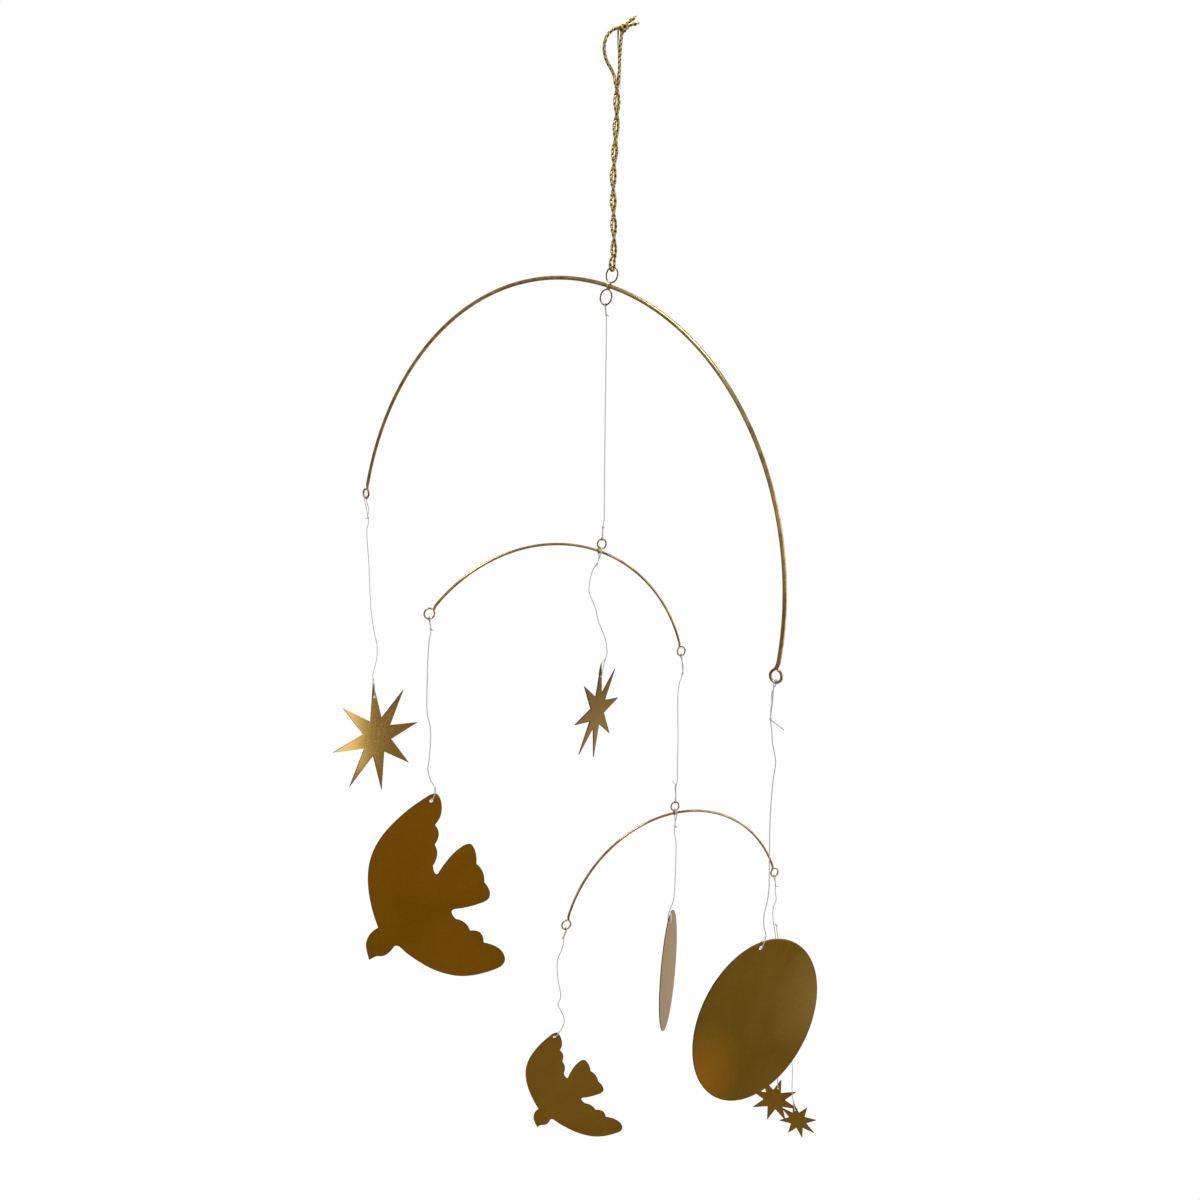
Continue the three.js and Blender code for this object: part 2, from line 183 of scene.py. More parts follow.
star_thread_top = below_eye(lower, "right")
threads = {
    "thread_middle_arch": thread_route(at_ring(top, double_eye, -1), at_ring(middle, single_eye, 1), [
        (0.04, 0.4, 0.1), (0.3, 0.6, 0.4), (0.6, 0.7, -0.3),
        (0.88, 0.9, 0.1), (0.92, 0.9, 0.4), (0.96, 0.2, 0.1)]),
    "thread_left_star": thread_route(below_eye(top, "left"), at_hole(left_star), [
        (0.05, 1.5, 0.3), (0.08, 0.7, -0.5), (0.1, 1.2, 0), (0.15, -0.4, 0.4), (0.32, -0.3, 1.0),
        (0.53, -0.1, 0.2), (0.66, 1.6, -0.8), (0.73, 3.0, -0.2), (0.8, 2.2, 0.6), (0.86, 0.1, 0.4),
        (0.89, -0.9, 0), (0.93, 0, -0.2)]),
    "thread_large_bird": thread_route(below_eye(middle, "left"), at_hole(large_bird), [
        (0.05, 0.6, 0.2), (0.12, -0.4, 0.5), (0.3, -1.2, -0.4), (0.51, -1.6, 0.3), (0.59, -0.4, 0.9),
        (0.75, -0.8, 0.1), (0.82, -1.5, -0.6), (0.88, -0.4, 0),
        (0.91, 1.0, 0.3), (0.94, 1.9, 0.2), (0.97, 1.2, 0)]),
    "thread_middle_star": thread_route(below_collar(middle), at_hole(middle_star), [
        (0.07, -1.1, 0.3), (0.12, -3.4, 0.6), (0.22, -5.2, 0.2), (0.3, -5.6, -0.6), (0.37, -4.1, -0.3),
        (0.45, -2.3, 0.5), (0.54, -1.2, 0.8), (0.64, 1.3, 0.2),
        (0.7, 2.5, -0.4), (0.81, 3.0, -0.2), (0.88, 1.6, 0.3)]),
    "thread_lower_arch": thread_route(below_eye(middle, "right"), at_ring(lower, single_eye, 1), [
        (0.06, 1.4, 0.2), (0.12, 1.1, -0.4), (0.17, -0.2, 0), (0.25, -0.8, 0.5), (0.4, -0.4, 0.7),
        (0.57, 0.2, -0.3), (0.72, 0.3, -0.6), (0.87, 0.6, 0.1), (0.91, -0.4, 0.3), (0.95, 0.1, 0)]),
    "thread_small_disc": thread_route(below_collar(lower), at_hole(small_disc), [
        (0.08, 0.5, 0.2), (0.14, 0.3, -0.3), (0.22, 1.4, 0.1), (0.3, 1.9, 0.6), (0.55, 2.4, 0.3),
        (0.77, 2.3, -0.4), (0.87, 0.7, -0.2), (0.93, -0.2, 0)]),
    "thread_large_disc": thread_route(below_eye(top, "right"), at_hole(large_disc), [
        (0.03, -1.3, 0.3), (0.06, -1.1, 0), (0.09, -1.5, -0.4), (0.13, -1.3, 0), (0.17, -0.4, 0.5),
        (0.21, 0.1, 0.2), (0.28, 1.8, -0.5), (0.35, 1.2, -0.2), (0.48, 0.9, 0.7), (0.64, 1.4, 0.3),
        (0.7, 1.6, -0.4), (0.76, 1.9, 0), (0.81, 1.6, 0.4),
        (0.87, 0.3, 0.2), (0.91, 0.4, 0), (0.95, 1.6, -0.2)]),
    "thread_small_bird": thread_route(below_eye(lower, "left"), at_hole(small_bird), [
        (0.05, -0.9, 0.2), (0.12, -0.7, -0.3), (0.19, -1.5, 0.1), (0.26, -2.7, 0.5), (0.34, -2.7, 0.3),
        (0.44, -1.6, -0.4), (0.61, 1.0, -0.5), (0.69, 0, 0.1),
        (0.76, 2.5, 0.5), (0.84, 4.4, 0.3), (0.93, 3.0, 0)]),
    "thread_small_star_a": thread_route(star_thread_top, at_hole(small_star_a), [
        (0.03, 0.8, 0.2), (0.06, 0.5, -0.2), (0.1, 1.0, 0.1), (0.14, -0.8, 0.4), (0.2, -1.0, 0.2),
        (0.26, 0, -0.4), (0.45, 1.2, 0.3), (0.62, -0.6, 0.8), (0.8, 0.8, 0.1), (0.93, -0.4, -0.2)]),
    "thread_small_star_b": thread_route(Vector((51.2, 116.0, -475.5)) * mm, at_hole(small_star_b), [
        (0.08, 0.5, -0.4), (0.2, 0.6, 0.3), (0.4, 1.2, 0.7),
        (0.6, 0.3, 0.2), (0.75, 1.2, -0.4), (0.9, -0.5, 0)]),
}


def route_length(points):
    return sum((b - a).length for a, b in zip(points, points[1:]))


for name, route in threads.items():
    print(name, round(route_length(route) / mm), "mm")


# %% Route of the gold cord
def across(aside, back, up):
    """A point from its place across the front view, its depth and its height, in millimetres."""
    sx, sy = polar(1, front_turn)
    return Vector((aside * sx - back * sy, aside * sy + back * sx, up)) * mm


twist = dict(top=-20 * mm, bottom=-102.5 * mm, half_width=1.0 * mm, turns=3.636, steps=29)
ring_u, ring_z = ring_centre(top, double_eye, 1)
ring_top = top["hang"].z + ring_z + double_eye["radius"]


def strand(start_angle):
    """One strand of the twisted stretch, from its top down."""
    points = []
    for step in range(twist["steps"] + 1):
        part = step / twist["steps"]
        dx, dy = polar(twist["half_width"], start_angle + 360 * twist["turns"] * part)
        sx, sy = polar(0.5 * mm * math.sin(math.radians(360 * 1.3 * part)), front_turn)
        up = twist["top"] + (twist["bottom"] - twist["top"]) * part
        points.append(Vector((ring_u * part + sx + dx, sy + dy, up)))
    return points


under = double_eye["wire"] / 2 + gap + cord_diameter / 2 + 0.1 * mm
half_bend = [
    Vector((ring_u, under * 0.9, ring_top + 2.6 * mm)),
    Vector((ring_u, under, ring_top + 0.6 * mm)),
    Vector((ring_u, under * 0.72, ring_top - under * 0.7)),
]
through_ring = (half_bend + [Vector((ring_u, 0, ring_top - under))]
                + [Vector((p.x, -p.y, p.z)) for p in reversed(half_bend)])
left_of_loop = [across(*p) for p in (
    (0.3, 0, 1.5), (-1.8, 0.1, 0.9), (-4.3, 0.1, -1.0), (-6.0, 0, -4.6), (-6.2, -0.1, -9.0),
    (-4.8, -0.1, -13.4), (-2.4, -0.1, -17.2))]
right_of_loop = [across(*p) for p in (
    (1.9, 0, -0.5), (1.6, 0.1, -3.4), (1.3, 0.1, -8.0), (1.2, 0, -12.6), (1.3, 0, -16.8))]
cord_route = (left_of_loop + strand(front_turn + 180) + through_ring
              + strand(front_turn)[::-1] + right_of_loop[::-1])
print("gold cord:", round(route_length(cord_route) / mm), "mm")


# %% [markdown]
# ## Tubes for cord, thread and wire ends
#
# Rope and thread could be drawn as curve objects with a round bevel. Here the curve is turned into a
# mesh at once, because a mesh keeps its own UV map and attributes, and both are needed to lay a plait
# or a twist along the tube. The route's few points are joined by a smooth line first. The UV map is
# then measured in centimetres along the tube, so that a pattern has the same size on every cord.

# %% A smooth line through a route's points
def smooth_route(points, spacing):
    """Points on a smooth line through the route's own points, a spacing apart or closer."""
    padded = [2 * points[0] - points[1], *points, 2 * points[-1] - points[-2]]
    line = []
    for p0, p1, p2, p3 in zip(padded, padded[1:], padded[2:], padded[3:]):
        count = max(2, math.ceil((p2 - p1).length / spacing))
        t0 = 0
        t1 = t0 + max((p1 - p0).length, 1e-6) ** 0.5
        t2 = t1 + max((p2 - p1).length, 1e-6) ** 0.5
        t3 = t2 + max((p3 - p2).length, 1e-6) ** 0.5
        for step in range(count):
            t = t1 + (t2 - t1) * step / count
            a1 = p0.lerp(p1, (t - t0) / (t1 - t0))
            a2 = p1.lerp(p2, (t - t1) / (t2 - t1))
            a3 = p2.lerp(p3, (t - t2) / (t3 - t2))
            b1 = a1.lerp(a2, (t - t0) / (t2 - t0))
            b2 = a2.lerp(a3, (t - t1) / (t3 - t1))
            line.append(b1.lerp(b2, (t - t1) / (t2 - t1)))
    return line + [points[-1]]


def take_up(piece):
    """Deselects everything, then selects this piece alone and makes it the active one."""
    if bpy.context.object and bpy.context.object.mode == "EDIT":
        bpy.ops.object.mode_set(mode="OBJECT")
    bpy.ops.object.select_all(action="DESELECT")
    piece.select_set(True)
    bpy.context.view_layer.objects.active = piece
    return piece


def draw_tube(name, points, diameter, sides=3):
    """A round, capped tube as a mesh. Its UV map runs in centimetres along it, and 0 to 1 round it."""
    curve = bpy.data.curves.new(name, "CURVE")
    curve.dimensions = "3D"
    curve.bevel_depth = diameter / 2
    curve.bevel_resolution = sides
    curve.use_fill_caps = True
    spline = curve.splines.new("POLY")
    spline.points.add(len(points) - 1)
    for point, place in zip(spline.points, points):
        point.co = (*place, 1)
    tube = bpy.data.objects.new(name, curve)
    bpy.context.scene.collection.objects.link(tube)
    take_up(tube)
    bpy.ops.object.convert(target="MESH")
    bpy.ops.object.shade_smooth()
    tube = bpy.context.object
    tube.data.name = name
    reached = [0]
    for a, b in zip(points, points[1:]):
        reached.append(reached[-1] + (b - a).length * 100)
    last = len(points) - 1
    for corner in tube.data.uv_layers[0].data:
        index = min(round(corner.uv.x * last), last)
        corner.uv.x = reached[index]
    return tube


# %% [markdown]
# ## Shader building blocks
#
# Several finishes here need the same effects: fine lines left by brushing, cloudy patches of age, and
# a twist that runs round a thread. Each effect is a node group that is built once. It gives out only a
# value, and each material decides what to do with it, so one effect can change a colour in one place
# and a roughness in another.

# %% Small helpers for node trees
def new_group(name, inputs, outputs):
    """A shader node group with float or vector sockets. Returns its tree, input node and output node."""
    tree = bpy.data.node_groups.new(name, "ShaderNodeTree")
    for label, kind, value in inputs:
        socket = tree.interface.new_socket(label, in_out="INPUT", socket_type=kind)
        if value is not None:
            socket.default_value = value
    for label in outputs:
        tree.interface.new_socket(label, in_out="OUTPUT", socket_type="NodeSocketFloat")
    return tree, tree.nodes.new("NodeGroupInput"), tree.nodes.new("NodeGroupOutput")


def node(tree, kind, inputs=None, **settings):
    """A node with its settings. An input is given a plain value, or the socket that it is linked from."""
    made = tree.nodes.new(kind)
    for key, value in settings.items():
        setattr(made, key, value)
    for key, value in (inputs or {}).items():
        if isinstance(value, bpy.types.NodeSocket):
            tree.links.new(value, made.inputs[key])
        else:
            made.inputs[key].default_value = value
    return made


def ramp(tree, value, *stops):
    """A colour ramp over a value. A stop is (position, colour)."""
    made = node(tree, "ShaderNodeValToRGB", {"Fac": value})
    elements = made.color_ramp.elements
    while len(elements) < len(stops):
        elements.new(0.5)
    for element, (position, colour) in zip(elements, stops):
        element.position = position
        element.color = (*colour, 1)
    return made.outputs["Color"]


def spread(tree, value, low, high, to_low=0, to_high=1):
    """Stretches a value from one range to another, and stops it at the ends."""
    sockets = {"Value": value, "From Min": low, "From Max": high, "To Min": to_low, "To Max": to_high}
    return node(tree, "ShaderNodeMapRange", sockets).outputs["Result"]


# %% The shared effects
vector, number = "NodeSocketVector", "NodeSocketFloat"

tree, came_in, goes_out = new_group(
    "brushed_lines", [("Vector", vector, None), ("Along", number, 8), ("Across", number, 400)], ["Lines"])
scale = node(tree, "ShaderNodeCombineXYZ",
             {"X": came_in.outputs["Along"], "Y": came_in.outputs["Across"], "Z": 1.0})
stretched = node(tree, "ShaderNodeVectorMath",
                 {0: came_in.outputs["Vector"], 1: scale.outputs[0]}, operation="MULTIPLY")
lines = node(tree, "ShaderNodeTexNoise",
             {"Vector": stretched.outputs[0], "Scale": 1.0, "Detail": 4.0, "Roughness": 0.65})
tree.links.new(lines.outputs["Fac"], goes_out.inputs["Lines"])

tree, came_in, goes_out = new_group(
    "age_patches", [("Vector", vector, None), ("Scale", number, 40)], ["Patches"])
clouds = node(tree, "ShaderNodeTexNoise",
              {"Vector": came_in.outputs["Vector"], "Scale": came_in.outputs["Scale"], "Detail": 5.0,
               "Roughness": 0.55, "Distortion": 0.4})
tree.links.new(spread(tree, clouds.outputs["Fac"], 0.36, 0.66), goes_out.inputs["Patches"])

tree, came_in, goes_out = new_group(
    "ply_twist", [("Vector", vector, None), ("Turns", number, 12), ("Plies", number, 2)], ["Height"])
apart = node(tree, "ShaderNodeSeparateXYZ", {0: came_in.outputs["Vector"]})
turns_along = {0: apart.outputs["X"], 1: came_in.outputs["Turns"]}
along = node(tree, "ShaderNodeMath", turns_along, operation="MULTIPLY")
plies_around = {0: apart.outputs["Y"], 1: came_in.outputs["Plies"]}
around = node(tree, "ShaderNodeMath", plies_around, operation="MULTIPLY")
both = node(tree, "ShaderNodeMath", {0: along.outputs[0], 1: around.outputs[0]}, operation="ADD")
wave = node(tree, "ShaderNodeMath", {0: both.outputs[0], 1: 0.5}, operation="PINGPONG")
tree.links.new(spread(tree, wave.outputs[0], 0.0, 0.5), goes_out.inputs["Height"])
print("effects:", [group.name for group in bpy.data.node_groups])


# %% Materials start from here
def new_material(name, **sockets):
    """A material with the Principled shader's own sockets set. Returns the tree and the shader."""
    material = bpy.data.materials.new(name)
    material.use_nodes = True
    shader = material.node_tree.nodes["Principled BSDF"]
    for socket, value in sockets.items():
        shader.inputs[socket.replace("_", " ")].default_value = value
    return material, material.node_tree, shader


def effect(tree, group, **inputs):
    made = node(tree, "ShaderNodeGroup", node_tree=bpy.data.node_groups[group])
    for label, value in inputs.items():
        if isinstance(value, bpy.types.NodeSocket):
            tree.links.new(value, made.inputs[label])
        else:
            made.inputs[label].default_value = value
    return made.outputs[0]


def blend_colours(tree, factor, first, second):
    mixed = node(tree, "ShaderNodeMix", {0: factor}, data_type="RGBA")
    for socket, colour in ((mixed.inputs[6], first), (mixed.inputs[7], second)):
        if isinstance(colour, bpy.types.NodeSocket):
            tree.links.new(colour, socket)
        else:
            socket.default_value = (*colour, 1)
    return mixed.outputs[2]


def raise_bumps(tree, shader, height, strength, distance):
    bump = node(tree, "ShaderNodeBump", {"Height": height, "Strength": strength, "Distance": distance})
    tree.links.new(bump.outputs["Normal"], shader.inputs["Normal"])


def dress(piece, *materials):
    """Gives a piece its materials, in place of any that it has."""
    piece.data.materials.clear()
    for material in materials:
        piece.data.materials.append(material)
    return piece


# %% [markdown]
# ## The gold cord
#
# The cord is a thin plaited gift cord with a metal thread in it: flat gold strips cross over and under
# each other, so it glitters in points. A texture alone would leave its outline smooth, so the tube's
# own vertices are pushed in where the plait has a groove. Two families of strips wind round it in
# opposite directions, and each point takes the higher of the two. How deep it lies is kept as an
# attribute, which the material reads to paint shade into the grooves.

# %% Plait a tube
def plait(tube, points, diameter, pitch, depth):
    """Pushes a tube's grooves in by part of its radius, and keeps how high each point lies."""
    uv = tube.data.uv_layers[0].data
    place_round = {}
    for loop in tube.data.loops:
        place_round[loop.vertex_index] = uv[loop.index].uv
    height = tube.data.attributes.new("plait_height", "FLOAT", "POINT")
    steps = [0]
    for a, b in zip(points, points[1:]):
        steps.append(steps[-1] + (b - a).length * 100)
    for vertex in tube.data.vertices:
        along, around = place_round[vertex.index]
        one = math.cos(2 * math.pi * (along / pitch + 2 * around))
        other = math.cos(2 * math.pi * (along / pitch - 2 * around + 0.25))
        high = 0.5 + 0.5 * max(one, other)
        height.data[vertex.index].value = high
        index = min(bisect.bisect_left(steps, along - 1e-5), len(points) - 1)
        vertex.co = points[index].lerp(vertex.co, 1 - depth * (1 - high))
    return tube


cord_line = smooth_route(cord_route, 0.35 * mm)
gold_cord = draw_tube("gold_cord", cord_line, cord_diameter, sides=6)
plait(gold_cord, cord_line, cord_diameter, pitch=0.24, depth=0.34)
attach(gold_cord, "root")
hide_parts("hanging_cord")
print("gold cord:", round(route_length(cord_line) / mm), "mm,", len(gold_cord.data.polygons), "faces")

# %% Finish of the gold cord
gold_lurex, tree, shader = new_material("gold_lurex", Metallic=0.9, Roughness=0.3)
height = node(tree, "ShaderNodeAttribute", attribute_name="plait_height").outputs["Fac"]
place = node(tree, "ShaderNodeTexCoord").outputs["Object"]
flecks = node(tree, "ShaderNodeTexVoronoi", {"Vector": place, "Scale": 1900.0}).outputs["Color"]
fleck = node(tree, "ShaderNodeSeparateColor", {0: flecks}).outputs[0]
strips = ramp(tree, fleck, (0.0, (0.34, 0.21, 0.03)), (0.35, (0.74, 0.52, 0.10)),
              (0.7, (0.95, 0.74, 0.24)), (1.0, (1.0, 0.93, 0.62)))
# Painted shade: the plait's grooves are painted near black, fading up to the strips' gold on the high parts.
groove_painted_shade = spread(tree, height, 0.35, 0.95)
colour = blend_colours(tree, groove_painted_shade, (0.09, 0.05, 0.012), strips)
tree.links.new(colour, shader.inputs["Base Color"])
tree.links.new(spread(tree, fleck, 0.0, 1.0, 0.45, 0.18), shader.inputs["Roughness"])
raise_bumps(tree, shader, fleck, 0.35, 0.0002)
dress(gold_cord, gold_lurex)

# %% [markdown]
# ## The cord's knot
#
# The cord's two ends are tied in one overhand knot, and its cut ends stand out of it. A tied knot could
# be traced strand by strand, but at this size only its wraps are seen. So the wraps are one short coil
# of the same cord round the place where the two ends meet, and two tails leave it, each with a few loose
# strips at its end.

# %% Tie the knot
knot_from, knot_to = across(1.3, 0, 0.2), across(3.9, 0, 2.6)


def coil(start, end, radius, turns, steps_a_turn=14):
    """Points of a coil round the line from start to end."""
    axis = (end - start).normalized()
    side = axis.orthogonal().normalized()
    other = axis.cross(side)
    count = round(turns * steps_a_turn)
    points = []
    for step in range(count + 1):
        angle = 2 * math.pi * step / steps_a_turn
        spoke = side * math.cos(angle) + other * math.sin(angle)
        points.append(start.lerp(end, step / count) + spoke * radius)
    return points


def plaited(name, points, spacing=0.3 * mm, diameter=cord_diameter):
    line = smooth_route(points, spacing)
    tube = draw_tube(name, line, diameter, sides=5)
    plait(tube, line, diameter, pitch=0.24, depth=0.34)
    return tube


knot_parts = [
    plaited("cord_knot", coil(knot_from, knot_to, 1.15 * mm, 2.25)),
    plaited("tail_one", [across(2.6, 0, 1.6), across(3.9, 0.1, 3.1),
                         across(5.8, 0.3, 5.0), across(7.6, 0.4, 6.3)]),
    plaited("tail_two", [across(2.8, 0, 1.2), across(4.6, -0.3, 2.3),
                         across(6.6, -0.2, 3.1), across(8.6, -0.3, 3.3)]),
    plaited("core", [across(0.7, 0, 1.2), across(1.8, 0, 1.2), across(2.7, 0, 1.5)]),
]
fray_seed = random.Random(4)
tail_ends = [(across(7.4, 0.4, 6.1), across(1.1, 0.1, 1.0)),
             (across(8.4, -0.3, 3.3), across(1.3, 0, 0.2))]
for tip, way in tail_ends:
    for _ in range(7):
        spray = Vector([fray_seed.uniform(-0.45, 0.45) * mm for _ in range(3)])
        bend_at = tip + way * 0.5 + spray * 0.4
        loose_strip = smooth_route([tip + spray * 0.6, bend_at, tip + way + spray], 0.3 * mm)
        knot_parts.append(draw_tube("fray", loose_strip, 0.28 * mm, sides=1))
for part in knot_parts:
    if "plait_height" not in part.data.attributes:
        made = part.data.attributes.new("plait_height", "FLOAT", "POINT")
        made.data.foreach_set("value", [0.8] * len(part.data.vertices))
take_up(knot_parts[0])
for part in knot_parts[1:]:
    part.select_set(True)
bpy.ops.object.join()
cord_knot = dress(bpy.context.object, gold_lurex)
cord_knot.name = "gold_cord_knot"
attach(cord_knot, "root")
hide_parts("hanging_cord_knot")
print("knot:", len(cord_knot.data.polygons), "faces")

# %% [markdown]
# ## The threads
#
# The threads are plain white sewing thread, half a millimetre thick. Each is one length from the wire
# that it hangs from to the hole of what it carries. Thread that has been on a reel keeps small kinks,
# so the routes bend a little on their way down. Its two plies show only through the shared twist
# effect: a fine slanting relief, and painted shade, a dark grey that is darker still in the grooves.

# %% Finish of the thread
white_thread, tree, shader = new_material("white_thread", Roughness=0.75,
                                          Sheen_Weight=0.3, Sheen_Roughness=0.5)
lay = node(tree, "ShaderNodeTexCoord").outputs["UV"]
twist_height = effect(tree, "ply_twist", Vector=lay, Turns=9.0, Plies=2.0)
# Painted shade: the white thread is coloured a dark grey, and darker still in the twist's grooves.
colour = blend_colours(tree, twist_height, (0.22, 0.215, 0.20), (0.44, 0.43, 0.40))
tree.links.new(colour, shader.inputs["Base Color"])
raise_bumps(tree, shader, twist_height, 0.6, 0.0001)

# %% Draw the threads
thread_lines = {}
thread_pieces = {}
for name, route in threads.items():
    thread_lines[name] = smooth_route(route, 1.0 * mm)
    piece = draw_tube("white_" + name, thread_lines[name], thread_diameter, sides=2)
    dress(piece, white_thread)
    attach(piece, "root")
    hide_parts(name)
    thread_pieces[name] = piece
all_thread = sum(round(route_length(line) / mm) for line in thread_lines.values())
print(len(thread_pieces), "threads,", all_thread, "mm in all")

# %% [markdown]
# ## How a thread is tied
#
# Above and below, a thread passes round the wire or through the hole, comes back beside itself and is
# tied to itself with a tiny knot, so there are two strands between the knot and the wire. The second
# strand is a tube of its own. The knot is a coil of one and a half turns round both strands, and its
# cut end sticks out sideways.

# %% Knots, and the second strand
def point_along(line, distance):
    """The point that far along a line, and the direction there. A negative distance is from its end."""
    if distance < 0:
        line, distance = line[::-1], -distance
    for a, b in zip(line, line[1:]):
        step = (b - a).length
        if distance <= step:
            return a.lerp(b, distance / step), (b - a).normalized()
        distance -= step
    return line[-1], (line[-1] - line[-2]).normalized()


def tie_knot(name, place, along, tail):
    """A small knot round a thread at a place, with a tail that ends that far away."""
    half = along * 0.45 * mm
    turns = coil(place - half, place + half, 0.34 * mm, 1.6, steps_a_turn=10)
    end = turns[-1]
    line = smooth_route(turns + [end + tail * 0.4, end + tail + Vector((0, 0, -0.2 * mm))], 0.25 * mm)
    return draw_tube(name, line, 0.46 * mm, sides=2)


def round_wire(centre, wire, side):
    """Half a turn of thread over a wire, from one side of it to the other."""
    reach = wire / 2 + thread_diameter / 2 + 0.05 * mm
    points = []
    for degrees in range(0, 181, 30):
        out, up = polar(reach, degrees)
        points.append(centre + side * out + Vector((0, 0, up)))
    return points


tied = {name: [] for name in threads}


def tie_top(name, centre, wire, side, knot_at, tail):
    """The second strand from a knot on the thread up and over the wire, down to where the thread starts."""
    line = thread_lines[name]
    knot, along = point_along(line, knot_at)
    over = round_wire(centre, wire, side)
    beside = knot.lerp(line[0], 0.5) + side * 0.45 * mm
    joins_at = line[0] + Vector((0, 0, -0.3 * mm))
    loop = smooth_route([knot + side * 0.15 * mm, beside, *over, joins_at], 0.4 * mm)
    tied[name].append(draw_tube("loop_top_" + name, loop, thread_diameter, sides=2))
    tied[name].append(tie_knot("knot_top_" + name, knot, along, tail))


def eye_bottom(arch, end):
    u, z = on_arc(arch, arch[end])
    return placed(arch, (u, z - arch["eye"]))


def off_plane(arch):
    return Vector((*polar(1, arch["turn"] - 90), 0))


aside = across(1, 0, 0).normalized()
down = Vector((0, 0, -mm))
eye_ties = [
    ("thread_left_star", top, "left", 12 * mm, -aside * 2.2 * mm),
    ("thread_large_disc", top, "right", 16 * mm, aside * 6 * mm + down * 4),
    ("thread_large_bird", middle, "left", 4 * mm, aside * 1.2 * mm),
    ("thread_lower_arch", middle, "right", 9 * mm, -aside * 1.2 * mm),
    ("thread_small_bird", lower, "left", 4 * mm, -aside * 1.2 * mm),
    ("thread_small_star_a", lower, "right", 5 * mm, aside * 1.2 * mm),
]
for name, arch, end, knot_at, tail in eye_ties:
    tie_top(name, eye_bottom(arch, end), arch["wire"], off_plane(arch), knot_at, tail)
print("tied at the wires:", sum(len(pieces) for pieces in tied.values()), "pieces")

# %% [markdown]
# ## The wire arches
#
# Each arch is one length of hard brass wire, bent to an arc, with an eye curled at each end. A curve
# with a bevel would do, but spinning shows how the wire is really bent. It starts as a circle of the
# wire's own size, spun round the arc's centre. At the neck it is spun a little the other way, and then
# nearly once round the eye's centre. Each spin leaves its far end selected, so the next one goes on
# from there. The cut ends are closed with a small rounded face.

# %% Bend a wire
def start_wire(name, place, direction, wire):
    """A circle across the wire's direction, left selected in edit mode, for the first spin."""
    bpy.ops.object.select_all(action="DESELECT")
    turned = direction.to_track_quat("Z", "Y").to_euler()
    bpy.ops.mesh.primitive_circle_add(vertices=18, radius=wire / 2, location=place, rotation=turned)
    piece = bpy.context.object
    piece.name = piece.data.name = name
    bpy.ops.object.transform_apply(location=True, rotation=True, scale=True)
    bpy.ops.object.mode_set(mode="EDIT")
    bpy.ops.mesh.select_mode(type="VERT")
    bpy.ops.mesh.select_all(action="SELECT")
    return piece


def swing(centre, degrees, axis, steps):
    """Spins what is selected about an axis. The operator counts the other way, so the angle is negated."""
    bpy.ops.mesh.spin(steps=steps, angle=-math.radians(degrees), center=centre, axis=axis)


def selected_middle(piece):
    bpy.ops.object.mode_set(mode="OBJECT")
    places = [vertex.co.copy() for vertex in piece.data.vertices if vertex.select]
    bpy.ops.object.mode_set(mode="EDIT")
    return sum(places, Vector()) / len(places)


def select_near(piece, place, reach):
    """In edit mode, selects the vertices that lie within reach of a place."""
    bpy.ops.mesh.select_all(action="DESELECT")
    bpy.ops.object.mode_set(mode="OBJECT")
    for vertex in piece.data.vertices:
        vertex.select = (vertex.co - place).length < reach
    bpy.ops.object.mode_set(mode="EDIT")


def close_wire(piece, wire, outwards):
    """Draws the selected open end out a little, makes it smaller and fills it."""
    bpy.ops.mesh.extrude_region_move(TRANSFORM_OT_translate={"value": outwards * wire * 0.1})
    bpy.ops.transform.resize(value=(0.74, 0.74, 0.74), center_override=selected_middle(piece))
    bpy.ops.mesh.edge_face_add()


def flat_angle(here, there):
    return math.degrees(math.atan2(there.y - here.y, there.x - here.x))


closed_to = 353


def hammer_eye(piece, arch, end, drawn):
    """Thins the wire of an eye towards its middle line, and less and less along the neck."""
    centre, normal = placed(arch, on_arc(arch, arch[end])), off_plane(arch)
    for vertex in piece.data.vertices:
        spoke = vertex.co - centre
        spoke -= normal * spoke.dot(normal)
        beyond = abs(spoke.length - arch["eye"]) - arch["wire"] * 0.55
        share = max(0, min(1, 1 - beyond / (arch["wire"] * 1.2)))
        middle_line = centre + spoke.normalized() * arch["eye"]
        if share:
            vertex.co = vertex.co.lerp(middle_line, share * drawn)


def curl_eye(piece, arch, end, inward):
    """Bends the neck and curls the eye at one end. inward is 1 at the right end and -1 at the left."""
    neck = math.degrees((arch["eye"] + 2.2 * arch["wire"]) / arch["radius"])
    at = arch[end] + inward * neck
    start, centre = Vector(on_arc(arch, at)), Vector(on_arc(arch, arch[end]))
    back = Vector(polar(1, at + 90)) * inward  # from the eye's neck back along the wire
    aside = Vector((-back.y, back.x)) * inward
    across_neck = centre - start
    reach = (across_neck.length_squared - arch["eye"] ** 2) / (2 * (arch["eye"] + across_neck.dot(aside)))
    bend = start + aside * reach
    turned = flat_angle(bend, centre) - flat_angle(bend, start)
    turned = (turned + 180) % 360 - 180
    swing(placed(arch, bend), turned, off_plane(arch), 7)
    opened = abs((flat_angle(centre, bend) - flat_angle(centre, centre + back) + 180) % 360 - 180)
    curl = inward * (closed_to - opened)
    swing(placed(arch, centre), curl, off_plane(arch), 30)
    last = flat_angle(centre, centre + back) + inward * closed_to
    outwards = Vector(polar(inward, last + 90))
    along = placed(arch, outwards) - placed(arch, (0, 0))
    close_wire(piece, arch["wire"], along)


